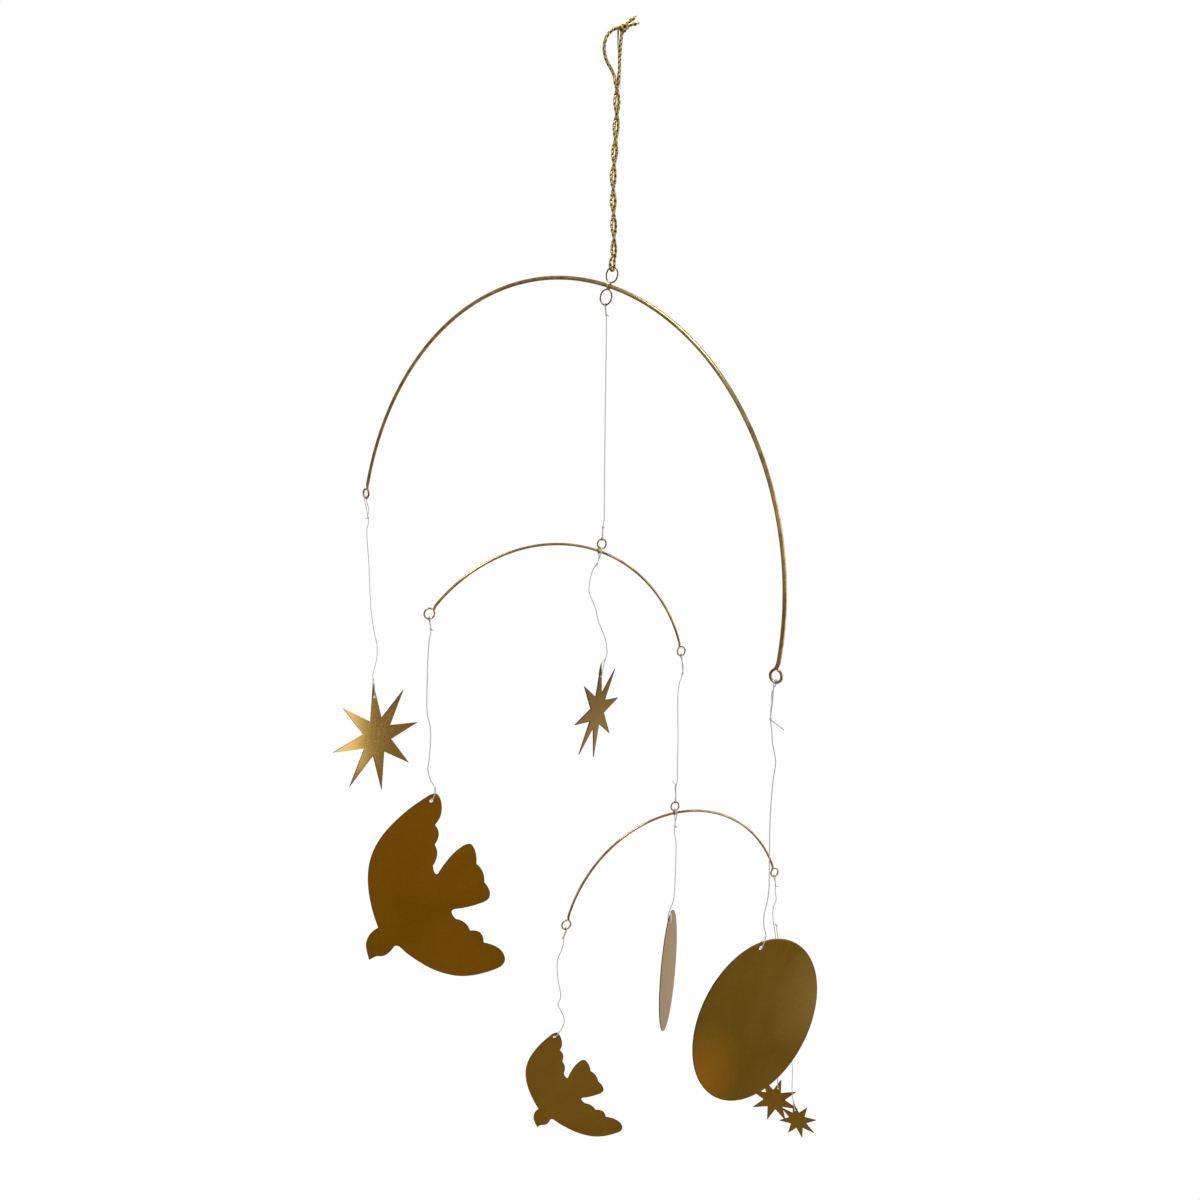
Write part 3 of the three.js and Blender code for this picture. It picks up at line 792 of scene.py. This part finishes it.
def bend_arch(name, arch, node_name):
    neck = math.degrees((arch["eye"] + 2.2 * arch["wire"]) / arch["radius"])
    first, last = arch["left"] - neck, arch["right"] + neck
    start = placed(arch, on_arc(arch, first))
    direction = placed(arch, polar(1, first + 90)) - arch["hang"]
    piece = start_wire(name, start, direction, arch["wire"])
    swing(placed(arch, polar(-arch["radius"], arch["hung"])), last - first, off_plane(arch), 120)
    curl_eye(piece, arch, "right", 1)
    select_near(piece, start, arch["wire"] * 0.6)
    curl_eye(piece, arch, "left", -1)
    bpy.ops.mesh.select_all(action="SELECT")
    bpy.ops.mesh.remove_doubles(threshold=1e-6)
    bpy.ops.mesh.normals_make_consistent(inside=False)
    bpy.ops.object.mode_set(mode="OBJECT")
    for end in ("left", "right"):
        hammer_eye(piece, arch, end, 0.36)
    bpy.ops.object.shade_smooth_by_angle(angle=math.radians(50))
    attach(piece, "root")
    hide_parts(node_name)
    low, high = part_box(node_name)
    mine = [Vector(corner) for corner in piece.bound_box]
    print(name, "box against the solid's:", [round((mine[0][i] - low[i]) / mm, 2) for i in range(3)],
          [round((mine[6][i] - high[i]) / mm, 2) for i in range(3)], "mm")
    return piece


arches = {
    "top_arch": bend_arch("brass_top_arch", top, "top_arch"),
    "middle_arch": bend_arch("brass_middle_arch", middle, "middle_arch"),
    "lower_arch": bend_arch("brass_lower_arch", lower, "lower_arch"),
}

# %% [markdown]
# Drawn wire is bright where it is rubbed and browner where it isn't. Its finish is one brass colour,
# dulled in soft patches along its length, with very fine drawing lines in the relief.

# %% Finish of the wire
wire_brass, tree, shader = new_material("drawn_wire_brass", Metallic=1.0, Roughness=0.16)
place = node(tree, "ShaderNodeTexCoord").outputs["Object"]
patches = effect(tree, "age_patches", Vector=place, Scale=160.0)
fine = effect(tree, "age_patches", Vector=place, Scale=1500.0)
colour = blend_colours(tree, patches, (0.38, 0.24, 0.085), (0.76, 0.57, 0.26))
tree.links.new(colour, shader.inputs["Base Color"])
tree.links.new(spread(tree, fine, 0.0, 1.0, 0.1, 0.24), shader.inputs["Roughness"])
raise_bumps(tree, shader, fine, 0.12, 0.0001)
for piece in arches.values():
    dress(piece, wire_brass)

# %% [markdown]
# ## The soldered rings
#
# Where an arch hangs, a small ring of thinner wire is soldered on it, and the top arch has one above
# and one below, like a figure eight. The rings and the turns round the arch are torus primitives, and
# flattened balls stand for the solder. A voxel remesh then melts them into one skin, and a smoothing
# modifier draws the fillets that solder leaves. How near each point lies to the arch is kept as an
# attribute, so that the solder can be greyer than the ring.

# %% Melt the rings to their arches
def aligned(direction):
    return direction.normalized().to_track_quat("Z", "Y").to_euler()


def solder_rings(name, arch, eye, sides, node_name):
    along = placed(arch, polar(1, arch["hung"] + 90)) - arch["hang"]
    ring_wire = 0.8 * mm
    bpy.ops.object.select_all(action="DESELECT")
    parts = []
    for side in sides:
        bpy.ops.mesh.primitive_torus_add(
            major_radius=eye["radius"], minor_radius=ring_wire / 2, major_segments=56, minor_segments=14,
            location=placed(arch, ring_centre(arch, eye, side)), rotation=aligned(off_plane(arch)))
        parts.append(bpy.context.object)
        bpy.ops.mesh.primitive_uv_sphere_add(
            segments=20, ring_count=12, radius=ring_wire * 0.8,
            location=placed(arch, polar(side * (arch["wire"] / 2 + eye["wire"] * 0.45), arch["hung"])))
        ball = bpy.context.object
        ball.rotation_euler = aligned(along)
        ball.scale = (1.0, 0.85, 1.6)
        parts.append(ball)
    for step in (-0.5, 0.5):
        bpy.ops.mesh.primitive_torus_add(
            major_radius=arch["wire"] / 2 + ring_wire * 0.3, minor_radius=ring_wire * 0.4,
            major_segments=32, minor_segments=10,
            location=arch["hang"] + along * step * ring_wire * 0.85, rotation=aligned(along))
        parts.append(bpy.context.object)
    for part in parts:
        part.select_set(True)
    bpy.context.view_layer.objects.active = parts[0]
    bpy.ops.object.join()
    piece = bpy.context.object
    piece.name = piece.data.name = name
    bpy.ops.object.transform_apply(location=True, rotation=True, scale=True)
    remesh = piece.modifiers.new("melt", "REMESH")
    remesh.mode, remesh.voxel_size = "VOXEL", 0.13 * mm
    smooth = piece.modifiers.new("flow", "SMOOTH")
    smooth.factor, smooth.iterations = 0.5, 5
    for modifier in ("melt", "flow"):
        bpy.ops.object.modifier_apply(modifier=modifier)
    bpy.ops.object.shade_smooth()
    nearness = piece.data.attributes.new("solder", "FLOAT", "POINT")
    reach = arch["wire"] / 2 + eye["wire"]
    for vertex in piece.data.vertices:
        away = (vertex.co - arch["hang"]).length
        nearness.data[vertex.index].value = max(0, min(1, (reach * 1.75 - away) / (reach * 0.5)))
    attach(piece, "root")
    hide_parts(node_name)
    print(name, len(piece.data.polygons), "faces")
    return piece


rings = [
    solder_rings("top_arch_rings", top, double_eye, (1, -1), "top_arch_double_eye"),
    solder_rings("middle_arch_ring", middle, single_eye, (1,), "middle_arch_eye"),
    solder_rings("lower_arch_ring", lower, single_eye, (1,), "lower_arch_eye"),
]

# %% Finish of the rings
ring_metal, tree, shader = new_material("soldered_ring_metal", Metallic=1.0, Roughness=0.3)
place = node(tree, "ShaderNodeTexCoord").outputs["Object"]
patches = effect(tree, "age_patches", Vector=place, Scale=900.0)
near = node(tree, "ShaderNodeAttribute", attribute_name="solder").outputs["Fac"]
wire_colour = blend_colours(tree, patches, (0.17, 0.11, 0.055), (0.44, 0.31, 0.16))
solder_colour = blend_colours(tree, patches, (0.55, 0.42, 0.20), (0.88, 0.76, 0.46))
tree.links.new(blend_colours(tree, near, wire_colour, solder_colour), shader.inputs["Base Color"])
tree.links.new(spread(tree, patches, 0.0, 1.0, 0.22, 0.42), shader.inputs["Roughness"])
raise_bumps(tree, shader, patches, 0.25, 0.0002)
for piece in rings:
    dress(piece, ring_metal)

# %% [markdown]
# ## Threads at the rings and arches
#
# The other threads are tied to a ring, or round the arch beside it, in the same way as at the eyes.

# %% Tie the threads to the rings
def ring_edge(arch, eye, side, edge):
    u, z = ring_centre(arch, eye, side)
    return placed(arch, (u, z + edge * eye["radius"]))


def round_solder(arch):
    """How thick the arch and what is soldered on it are together, where a thread goes round both."""
    return arch["wire"] + 2 * (gap + single_eye["wire"])


tie_top("thread_middle_arch", ring_edge(top, double_eye, -1, -1), double_eye["wire"],
        off_plane(top), 4 * mm, aside * 1.2 * mm)
tie_top("thread_middle_star", middle["hang"], round_solder(middle),
        off_plane(middle), 5 * mm, -aside * 1.2 * mm)
tie_top("thread_small_disc", lower["hang"], round_solder(lower),
        off_plane(lower), 6 * mm, aside * 1.2 * mm)


def tie_to_ring(name, centre, wire, side, knot_at, tail):
    """The same at a thread's lower end: the second strand goes under the top of a ring and back up."""
    line = thread_lines[name]
    knot, along = point_along(line, -knot_at)
    under = [2 * centre - point for point in round_wire(centre, wire, -side)]
    beside = knot.lerp(line[-1], 0.5) + side * 0.45 * mm
    joins_at = line[-1] + Vector((0, 0, 0.3 * mm))
    loop = smooth_route([knot + side * 0.15 * mm, beside, *under, joins_at], 0.4 * mm)
    tied[name].append(draw_tube("loop_low_" + name, loop, thread_diameter, sides=2))
    tied[name].append(tie_knot("knot_low_" + name, knot, along, tail))


tie_to_ring("thread_middle_arch", ring_edge(middle, single_eye, 1, 1), single_eye["wire"],
            off_plane(middle), 5 * mm, aside * 1.3 * mm)
tie_to_ring("thread_lower_arch", ring_edge(lower, single_eye, 1, 1), single_eye["wire"],
            off_plane(lower), 9 * mm, -aside * 2 * mm - down * 2.4)
start, along = thread_lines["thread_small_star_b"][0], Vector((0, 0, -1))
tied["thread_small_star_b"].append(tie_knot("knot_top_thread_small_star_b", start, along, aside * 1.0 * mm))

# %% [markdown]
# ## The flat brass shapes
#
# Every shape is cut from half-millimetre brass sheet and has one hole near its edge. Each is drawn flat
# first, with its hole at the origin: a disc and a star start from a circle primitive, and the dove from
# an outline through about eighty points, which follows the real one closely instead of being designed
# from a few sizes. The space between the outline and the hole is filled, an inset marks
# a narrow rim, Solidify gives the sheet its thickness and Bevel takes the sharpness off its edges. Only
# then is it stood upright. While it still lies flat, its UV map is written from its own flat
# coordinates, so that the brushed lines can run along the sheet.

# %% Outlines
def circle_outline(radius, points):
    bpy.ops.object.select_all(action="DESELECT")
    bpy.ops.mesh.primitive_circle_add(vertices=points, radius=radius)
    return bpy.context.object


def move_outline(piece, down, tilt):
    """Moves an outline so that its hole is at the origin, then tilts it about that hole."""
    piece.location = (0, -down, 0)
    bpy.ops.object.transform_apply(location=True, rotation=True, scale=True)
    piece.rotation_euler = (0, 0, math.radians(tilt))
    bpy.ops.object.transform_apply(location=True, rotation=True, scale=True)
    return piece


def disc_outline(disc):
    piece = circle_outline(disc["radius"] * mm, 144)
    return move_outline(piece, (disc["radius"] - disc["rim"]) * mm, disc["tilt"])


def star_outline(star):
    """Every second point of a sixteen-sided outline is drawn in towards the middle."""
    piece = circle_outline(star["radius"] * mm, 16)
    bpy.ops.object.mode_set(mode="EDIT")
    bpy.ops.mesh.select_all(action="DESELECT")
    bpy.ops.object.mode_set(mode="OBJECT")
    for vertex in piece.data.vertices:
        point = math.degrees(math.atan2(vertex.co.x, vertex.co.y)) / 22.5
        vertex.select = round(point) % 2 == 1
    bpy.ops.object.mode_set(mode="EDIT")
    drawn_in = star["inner"] / star["radius"]
    bpy.ops.transform.resize(value=(drawn_in, drawn_in, 1), center_override=(0, 0, 0))
    bpy.ops.object.mode_set(mode="OBJECT")
    return move_outline(piece, star["radius"] * star["hole_at"] * mm, star["tilt"])


def arc_through(start, control, end, steps=8):
    """A smooth bulge from start to end, drawn towards a control point."""
    start, control, end = Vector(start), Vector(control), Vector(end)
    parts = [step / steps for step in range(steps + 1)]
    return [start.lerp(control, t).lerp(control.lerp(end, t), t) for t in parts]


def dove_outline(dove):
    """A dove from above: x runs from beak to tail and y across its wings, in millimetres."""
    def through(*points):
        return smooth_route([Vector((*point, 0)) for point in points], 1.2)

    stretches = [
        through((-34.3, 0.2), (-33.7, 7.5), (-32.6, 14.5), (-31.1, 20.8), (-28.8, 27.3), (-25.4, 33.6),
                (-20.6, 39), (-15, 43), (-8, 46.2), (0, 48.7), (9, 50.3), (12.8, 50.6), (15.3, 49.7),
                (16.1, 46.8), (15.1, 41.9), (12.6, 37.7), (9, 35.2)),
        arc_through((9, 35.2), (10.8, 29.2), (5.2, 25.9)),
        arc_through((5.2, 25.9), (6.2, 20), (0.6, 16.2)),
        through((0.6, 16.2), (0, 13.4), (0.3, 11.1), (1.2, 10.9)),
        through((1.2, 10.9), (5.4, 13.6), (10.4, 16.2), (14.8, 17.6), (19, 18), (21.4, 16.9), (22.1, 13.6),
                (21.5, 9.2), (20.2, 5.7)),
        arc_through((20.2, 5.7), (23, 0.2), (20.4, -5.4)),
        through((20.4, -5.4), (21.2, -9.3), (20.9, -12.5), (19.6, -14.7), (17.4, -15.3), (12, -14.4),
                (6, -12.6), (1.2, -10.7), (0.2, -11.1), (0, -13.5), (0.6, -16.2)),
        arc_through((0.6, -16.2), (5.2, -20), (4.8, -26)),
        arc_through((4.8, -26), (11.4, -29.3), (8.6, -35.8)),
        through((8.6, -35.8), (12.4, -40), (14.9, -44.2), (15.7, -47.9), (14.9, -51.6), (12.3, -53.2),
                (5.5, -52.3), (-3, -49.3), (-9.4, -45.4), (-14.2, -40.9), (-19.4, -34.4), (-23.8, -26.8),
                (-27, -20.2), (-29.4, -13.9), (-30.8, -12.9), (-32.6, -13.8), (-35.4, -14.8), (-38, -14.5),
                (-40.2, -13.1), (-44.1, -12.8)),
        through((-44.1, -12.8), (-43.5, -8.8), (-42.4, -4.6), (-39.6, -1.3), (-36.8, -0.1), (-34.3, 0.2)),
    ]
    points = [Vector((point.x, point.y)) for stretch in stretches for point in stretch[:-1]]
    hole = Vector((11.8, 47.6))
    curve = bpy.data.curves.new("dove", "CURVE")
    spline = curve.splines.new("POLY")
    spline.points.add(len(points) - 1)
    spline.use_cyclic_u = True
    for point, place in zip(spline.points, points):
        point.co = (*((place - hole) * dove["scale"] * mm), 0, 1)
    curve.dimensions = "3D"
    piece = bpy.data.objects.new("dove", curve)
    bpy.context.scene.collection.objects.link(piece)
    take_up(piece)
    bpy.ops.object.convert(target="MESH")
    return move_outline(bpy.context.object, 0, dove["tilt"])


# %% From an outline to a sheet
def cut_sheet(name, outline, shape, hole, rim, node_name, *materials):
    """Fills an outline round its hole, thickens it, softens its edges and stands it in its place."""
    bpy.ops.object.select_all(action="DESELECT")
    bpy.ops.mesh.primitive_circle_add(vertices=28, radius=hole / 2)
    outline.select_set(True)
    bpy.context.view_layer.objects.active = outline
    bpy.ops.object.join()
    piece = bpy.context.object
    piece.name = piece.data.name = name
    bpy.ops.object.mode_set(mode="EDIT")
    bpy.ops.mesh.select_all(action="SELECT")
    bpy.ops.mesh.fill(use_beauty=True)
    bpy.ops.mesh.normals_make_consistent(inside=False)
    bpy.ops.mesh.select_all(action="SELECT")
    bpy.ops.mesh.inset(thickness=rim, use_boundary=True)
    bpy.ops.object.mode_set(mode="OBJECT")
    edge = piece.data.attributes.new("rim", "FLOAT", "POINT")
    inner = {index for face in piece.data.polygons if face.select for index in face.vertices}
    for vertex in piece.data.vertices:
        edge.data[vertex.index].value = 0 if vertex.index in inner else 1
    flat = piece.data.uv_layers.new(name="sheet")
    for loop in piece.data.loops:
        flat.data[loop.index].uv = piece.data.vertices[loop.vertex_index].co.xy * 10
    thicken = piece.modifiers.new("thicken", "SOLIDIFY")
    thicken.thickness, thicken.offset, thicken.use_even_offset = sheet_thickness, 0, True
    bpy.ops.object.modifier_apply(modifier="thicken")
    soften = piece.modifiers.new("soften", "BEVEL")
    soften.width, soften.segments, soften.limit_method = 0.09 * mm, 2, "ANGLE"
    soften.angle_limit = math.radians(60)
    bpy.ops.object.modifier_apply(modifier="soften")
    dress(piece, *materials)
    for face in piece.data.polygons:
        face.material_index = 0 if abs(face.normal.z) > 0.9 else 1
    bpy.ops.object.shade_smooth_by_angle(angle=math.radians(35))
    piece.rotation_euler = (math.radians(90 - shape["lean"]), 0, math.radians(shape["turn"]))
    piece.location = shape["hole"]
    bpy.ops.object.transform_apply(location=True, rotation=True, scale=True)
    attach(piece, "root")
    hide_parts(node_name)
    print(name, len(piece.data.polygons), "faces")
    return piece


# %% [markdown]
# ## Brushed brass
#
# Brass sheet that has been brushed and then left in a room for years goes a warm, dark gold. It is a
# plain metal shader, but nothing on it is one value: fine lines from brushing vary its roughness and
# relief, broad clouds shift its colour, and the rim is painted dark brown as painted shade.
# The sheets aren't all equally aged, so one function makes the finish from two colours and a roughness.
# The cut edges have their own darker finish, because they were sawn and never brushed.

# %% Finishes of the sheets
def round_patch(tree, place, x, y, inner, outer):
    """A mask that is 1 round one place of the sheet and fades out. All are in the sheet's own UV."""
    ends = {0: place, 1: (x, y, 0)}
    away = node(tree, "ShaderNodeVectorMath", ends, operation="DISTANCE").outputs["Value"]
    return spread(tree, away, inner, outer, 1.0, 0.0)


def brushed_brass(name, light, dark, rough, turned=0, relief=0.06, patches=()):
    material, tree, shader = new_material(name, Metallic=1.0, Roughness=rough)
    flat = node(tree, "ShaderNodeUVMap", uv_map="sheet").outputs["UV"]
    turn_lines = node(tree, "ShaderNodeMapping", {"Vector": flat})
    turn_lines.inputs["Rotation"].default_value = (0, 0, math.radians(turned))
    lines = effect(tree, "brushed_lines", Vector=turn_lines.outputs["Vector"], Along=9.0, Across=520.0)
    clouds = effect(tree, "age_patches", Vector=flat, Scale=2.6)
    spots = effect(tree, "age_patches", Vector=flat, Scale=55.0)
    edge = node(tree, "ShaderNodeAttribute", attribute_name="rim").outputs["Fac"]
    body = blend_colours(tree, clouds, dark, light)
    # Each listed patch is painted reflection: a brighter colour blended in round one place of the sheet.
    for colour, *where in patches:
        body = blend_colours(tree, round_patch(tree, flat, *where), body, colour)
    streaked = node(tree, "ShaderNodeMath", {0: lines, 1: 0.5}, operation="SUBTRACT")
    shade = node(tree, "ShaderNodeMath", {0: streaked.outputs[0], 1: 0.30, 2: 1.0}, operation="MULTIPLY_ADD")
    speck = spread(tree, spots, 0.0, 1.0, 0.94, 1.0)
    tone = node(tree, "ShaderNodeMath", {0: shade.outputs[0], 1: speck}, operation="MULTIPLY")
    shaded = {0: body, "Scale": tone.outputs[0]}
    toned = node(tree, "ShaderNodeVectorMath", shaded, operation="SCALE").outputs[0]
    # Painted shade: the rim band is blended most of the way to a dark brown.
    rim_painted_shade = spread(tree, edge, 0.1, 1.0, 0.0, 0.8)
    tree.links.new(blend_colours(tree, rim_painted_shade, toned, (0.16, 0.095, 0.025)), shader.inputs["Base Color"])
    tree.links.new(spread(tree, lines, 0.25, 0.75, rough - 0.05, rough + 0.07), shader.inputs["Roughness"])
    raise_bumps(tree, shader, lines, relief, 0.0001)
    return material


def cut_edge(name, colour):
    material, tree, shader = new_material(name, Metallic=1.0, Roughness=0.5)
    place = node(tree, "ShaderNodeTexCoord").outputs["Object"]
    marks = effect(tree, "age_patches", Vector=place, Scale=1800.0)
    darker = tuple(0.5 * part for part in colour)
    tree.links.new(blend_colours(tree, marks, darker, colour), shader.inputs["Base Color"])
    raise_bumps(tree, shader, marks, 0.2, 0.0001)
    return material


dark_gold = brushed_brass("brushed_dark_gold", (0.62, 0.31, 0.018), (0.54, 0.26, 0.012), 0.28)
warm_gold = brushed_brass("brushed_warm_gold", (0.62, 0.38, 0.065), (0.56, 0.32, 0.035), 0.24)
# Painted reflection: two bright round patches on the large disc's sheet.
aged_gold_painted_reflections = brushed_brass("brushed_aged_gold", (0.52, 0.34, 0.055), (0.44, 0.27, 0.025), 0.22, patches=[
    ((0.86, 0.42, 0.045), -0.36, -0.56, 0.05, 0.30), ((0.74, 0.53, 0.15), 0.42, -0.36, 0.02, 0.34)])
pale_gold = brushed_brass("brushed_pale_gold", (0.68, 0.45, 0.14), (0.60, 0.38, 0.10), 0.09,
                          turned=90, relief=0.02)
sawn_edge = cut_edge("sawn_edge", (0.10, 0.06, 0.018))

# %% Cut the shapes
shapes_to_cut = [
    ("large_disc", disc_outline, large_disc, 2.0, 0.5, aged_gold_painted_reflections),
    ("small_disc", disc_outline, small_disc, 2.0, 0.5, warm_gold),
    ("left_star", star_outline, left_star, 1.7, 0.45, pale_gold),
    ("middle_star", star_outline, middle_star, 1.4, 0.45, pale_gold),
    ("small_star_a", star_outline, small_star_a, 1.2, 0.35, warm_gold),
    ("small_star_b", star_outline, small_star_b, 1.2, 0.35, warm_gold),
    ("large_bird", dove_outline, large_bird, 1.9, 0.5, dark_gold),
    ("small_bird", dove_outline, small_bird, 1.6, 0.4, warm_gold),
]
for name, draw, shape, hole, rim, brass in shapes_to_cut:
    cut_sheet("brass_" + name, draw(shape), shape, hole * mm, rim * mm, name, brass, sawn_edge)

# %% [markdown]
# ## Threads at the holes
#
# At a hole the thread comes down the front of the sheet, passes through to the back, and goes up over
# the edge to a knot above it. The front strand is the thread itself, so only the back strand and the
# knot are added.

# %% Tie the threads to the shapes
def tie_hole(name, shape, knot_at, tail):
    line = thread_lines[name]
    knot, along = point_along(line, -knot_at)
    front = line[-1] - shape["hole"]
    back = -front
    top_edge, _ = point_along(line, -knot_at * 0.55)
    over = shape["hole"] + (top_edge - line[-1]) + back
    above_hole = shape["hole"] + back * 1.05 + Vector((0, 0, 1.0 * mm))
    through_hole = [shape["hole"] + back * 0.6, shape["hole"] + front * 0.5]
    back_strand = [knot + back * 0.2, over, above_hole, *through_hole, line[-1] + front * 0.1]
    loop = smooth_route(back_strand, 0.4 * mm)
    tied[name].append(draw_tube("loop_hole_" + name, loop, thread_diameter, sides=2))
    tied[name].append(tie_knot("knot_hole_" + name, knot, along, tail))


tie_hole("thread_left_star", left_star, 13.0 * mm, aside * 1.2 * mm)
tie_hole("thread_middle_star", middle_star, 10.5 * mm, aside * 1.2 * mm)
tie_hole("thread_small_star_a", small_star_a, 10.0 * mm, -aside * 1.0 * mm)
tie_hole("thread_small_star_b", small_star_b, 8.0 * mm, aside * 1.0 * mm)
tie_hole("thread_large_disc", large_disc, 6.5 * mm, aside * 1.2 * mm)
tie_hole("thread_small_disc", small_disc, 8.0 * mm, aside * 1.2 * mm)
tie_hole("thread_large_bird", large_bird, 7.5 * mm, aside * 1.2 * mm)
tie_hole("thread_small_bird", small_bird, 5.5 * mm, aside * 1.0 * mm)

# Painted light: a lighter copy of the thread's finish, for the strands and knots at the holes, where the
# thread looks bright in front of the dark brass. It is still painted darker in the twist's grooves.
thread_painted_light, tree, shader = new_material("thread_painted_light", Roughness=0.7)
lay = node(tree, "ShaderNodeTexCoord").outputs["UV"]
twist_height = effect(tree, "ply_twist", Vector=lay, Turns=9.0, Plies=2.0)
colour = blend_colours(tree, twist_height, (0.55, 0.50, 0.40), (0.92, 0.88, 0.78))
tree.links.new(colour, shader.inputs["Base Color"])
raise_bumps(tree, shader, twist_height, 0.6, 0.0001)

for name, piece in thread_pieces.items():
    for part in tied[name]:
        dress(part, thread_painted_light if "_hole_" in part.name else white_thread)
        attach(part, "root")
print("ties:", sum(len(parts) for parts in tied.values()), "pieces")

# %% [markdown]
# ## Studio
#
# The mobile hangs in front of a pale, even background. The floor is one big pale plane well below it.
# Polished sheet shows its surroundings like a mirror, so what stands round it matters more than the
# lamps do. Rays that bounce off the brass therefore meet a warmer, darker floor and room than the eye
# sees. That isn't how a real studio behaves: it is chosen for the colours that the brass shows here. One
# tall soft light stands at the right, and its edge is mirrored in the left star.

# %% Floor
bpy.ops.object.select_all(action="DESELECT")
bpy.ops.mesh.primitive_plane_add(size=300, location=(0, 0, -0.8))
floor = bpy.context.object
floor.name = "studio_floor"
pale_floor, tree, shader = new_material("pale_floor", Roughness=1.0)
shader.inputs["Specular IOR Level"].default_value = 0.0
rays = node(tree, "ShaderNodeLightPath").outputs
place = node(tree, "ShaderNodeTexCoord").outputs["Object"]


def near_on_floor(x, y, inner, outer):
    """A mask that is 1 round a place on the floor and fades to 0 at the outer radius."""
    ends = {0: place, 1: (x, y, 0)}
    away = node(tree, "ShaderNodeVectorMath", ends, operation="DISTANCE").outputs["Value"]
    return spread(tree, away, inner, outer, 1.0, 0.0)


# Painted reflection: to rays off the brass the floor glows a warm dark colour, lighter round one place on
# the far side, and to the camera it glows plain white.
warm_dark = (0.26, 0.215, 0.15)
mirrored = blend_colours(tree, near_on_floor(-0.22, 0.75, 0.35, 0.85), warm_dark, (0.50, 0.45, 0.40))
seen = blend_colours(tree, rays["Is Camera Ray"], mirrored, (1.0, 1.0, 1.0))
either = {0: rays["Is Camera Ray"], 1: rays["Is Glossy Ray"]}
glows = node(tree, "ShaderNodeMath", either, operation="MAXIMUM").outputs[0]
tree.links.new(blend_colours(tree, glows, (0.85, 0.85, 0.85), (0.0, 0.0, 0.0)), shader.inputs["Base Color"])
tree.links.new(seen, shader.inputs["Emission Color"])
tree.links.new(glows, shader.inputs["Emission Strength"])
dress(floor, pale_floor)

# %% Room
room = bpy.data.worlds.new("studio")
bpy.context.scene.world = room
room.use_nodes = True
tree = room.node_tree
backdrop = tree.nodes["Background"]
rays = node(tree, "ShaderNodeLightPath").outputs
room_colour = blend_colours(tree, rays["Is Glossy Ray"], (1.0, 1.0, 1.0), (0.42, 0.40, 0.36))
tree.links.new(room_colour, backdrop.inputs["Color"])
backdrop.inputs["Strength"].default_value = 1.0


def soft_light(name, place, aimed_at, width, height, power):
    """A rectangular lamp that lights the mobile and is mirrored in it, but isn't itself in view."""
    lamp = bpy.data.lights.new(name, "AREA")
    lamp.shape, lamp.size, lamp.size_y, lamp.energy = "RECTANGLE", width, height, power
    light = bpy.data.objects.new(name, lamp)
    bpy.context.scene.collection.objects.link(light)
    light.location = place
    light.rotation_euler = (Vector(aimed_at) - Vector(place)).to_track_quat("-Z", "Y").to_euler()
    light.visible_camera = False
    return light


soft_light("tall_side_light", (1.043, 0.747, -0.17), (-0.2, 0.0, -0.17), 0.79, 1.24, 4.4)
soft_light("overhead_light", (0.1, -0.5, 1.4), (0, 0, -0.4), 0.9, 0.7, 16)
bpy.context.scene.view_settings.view_transform = "Standard"
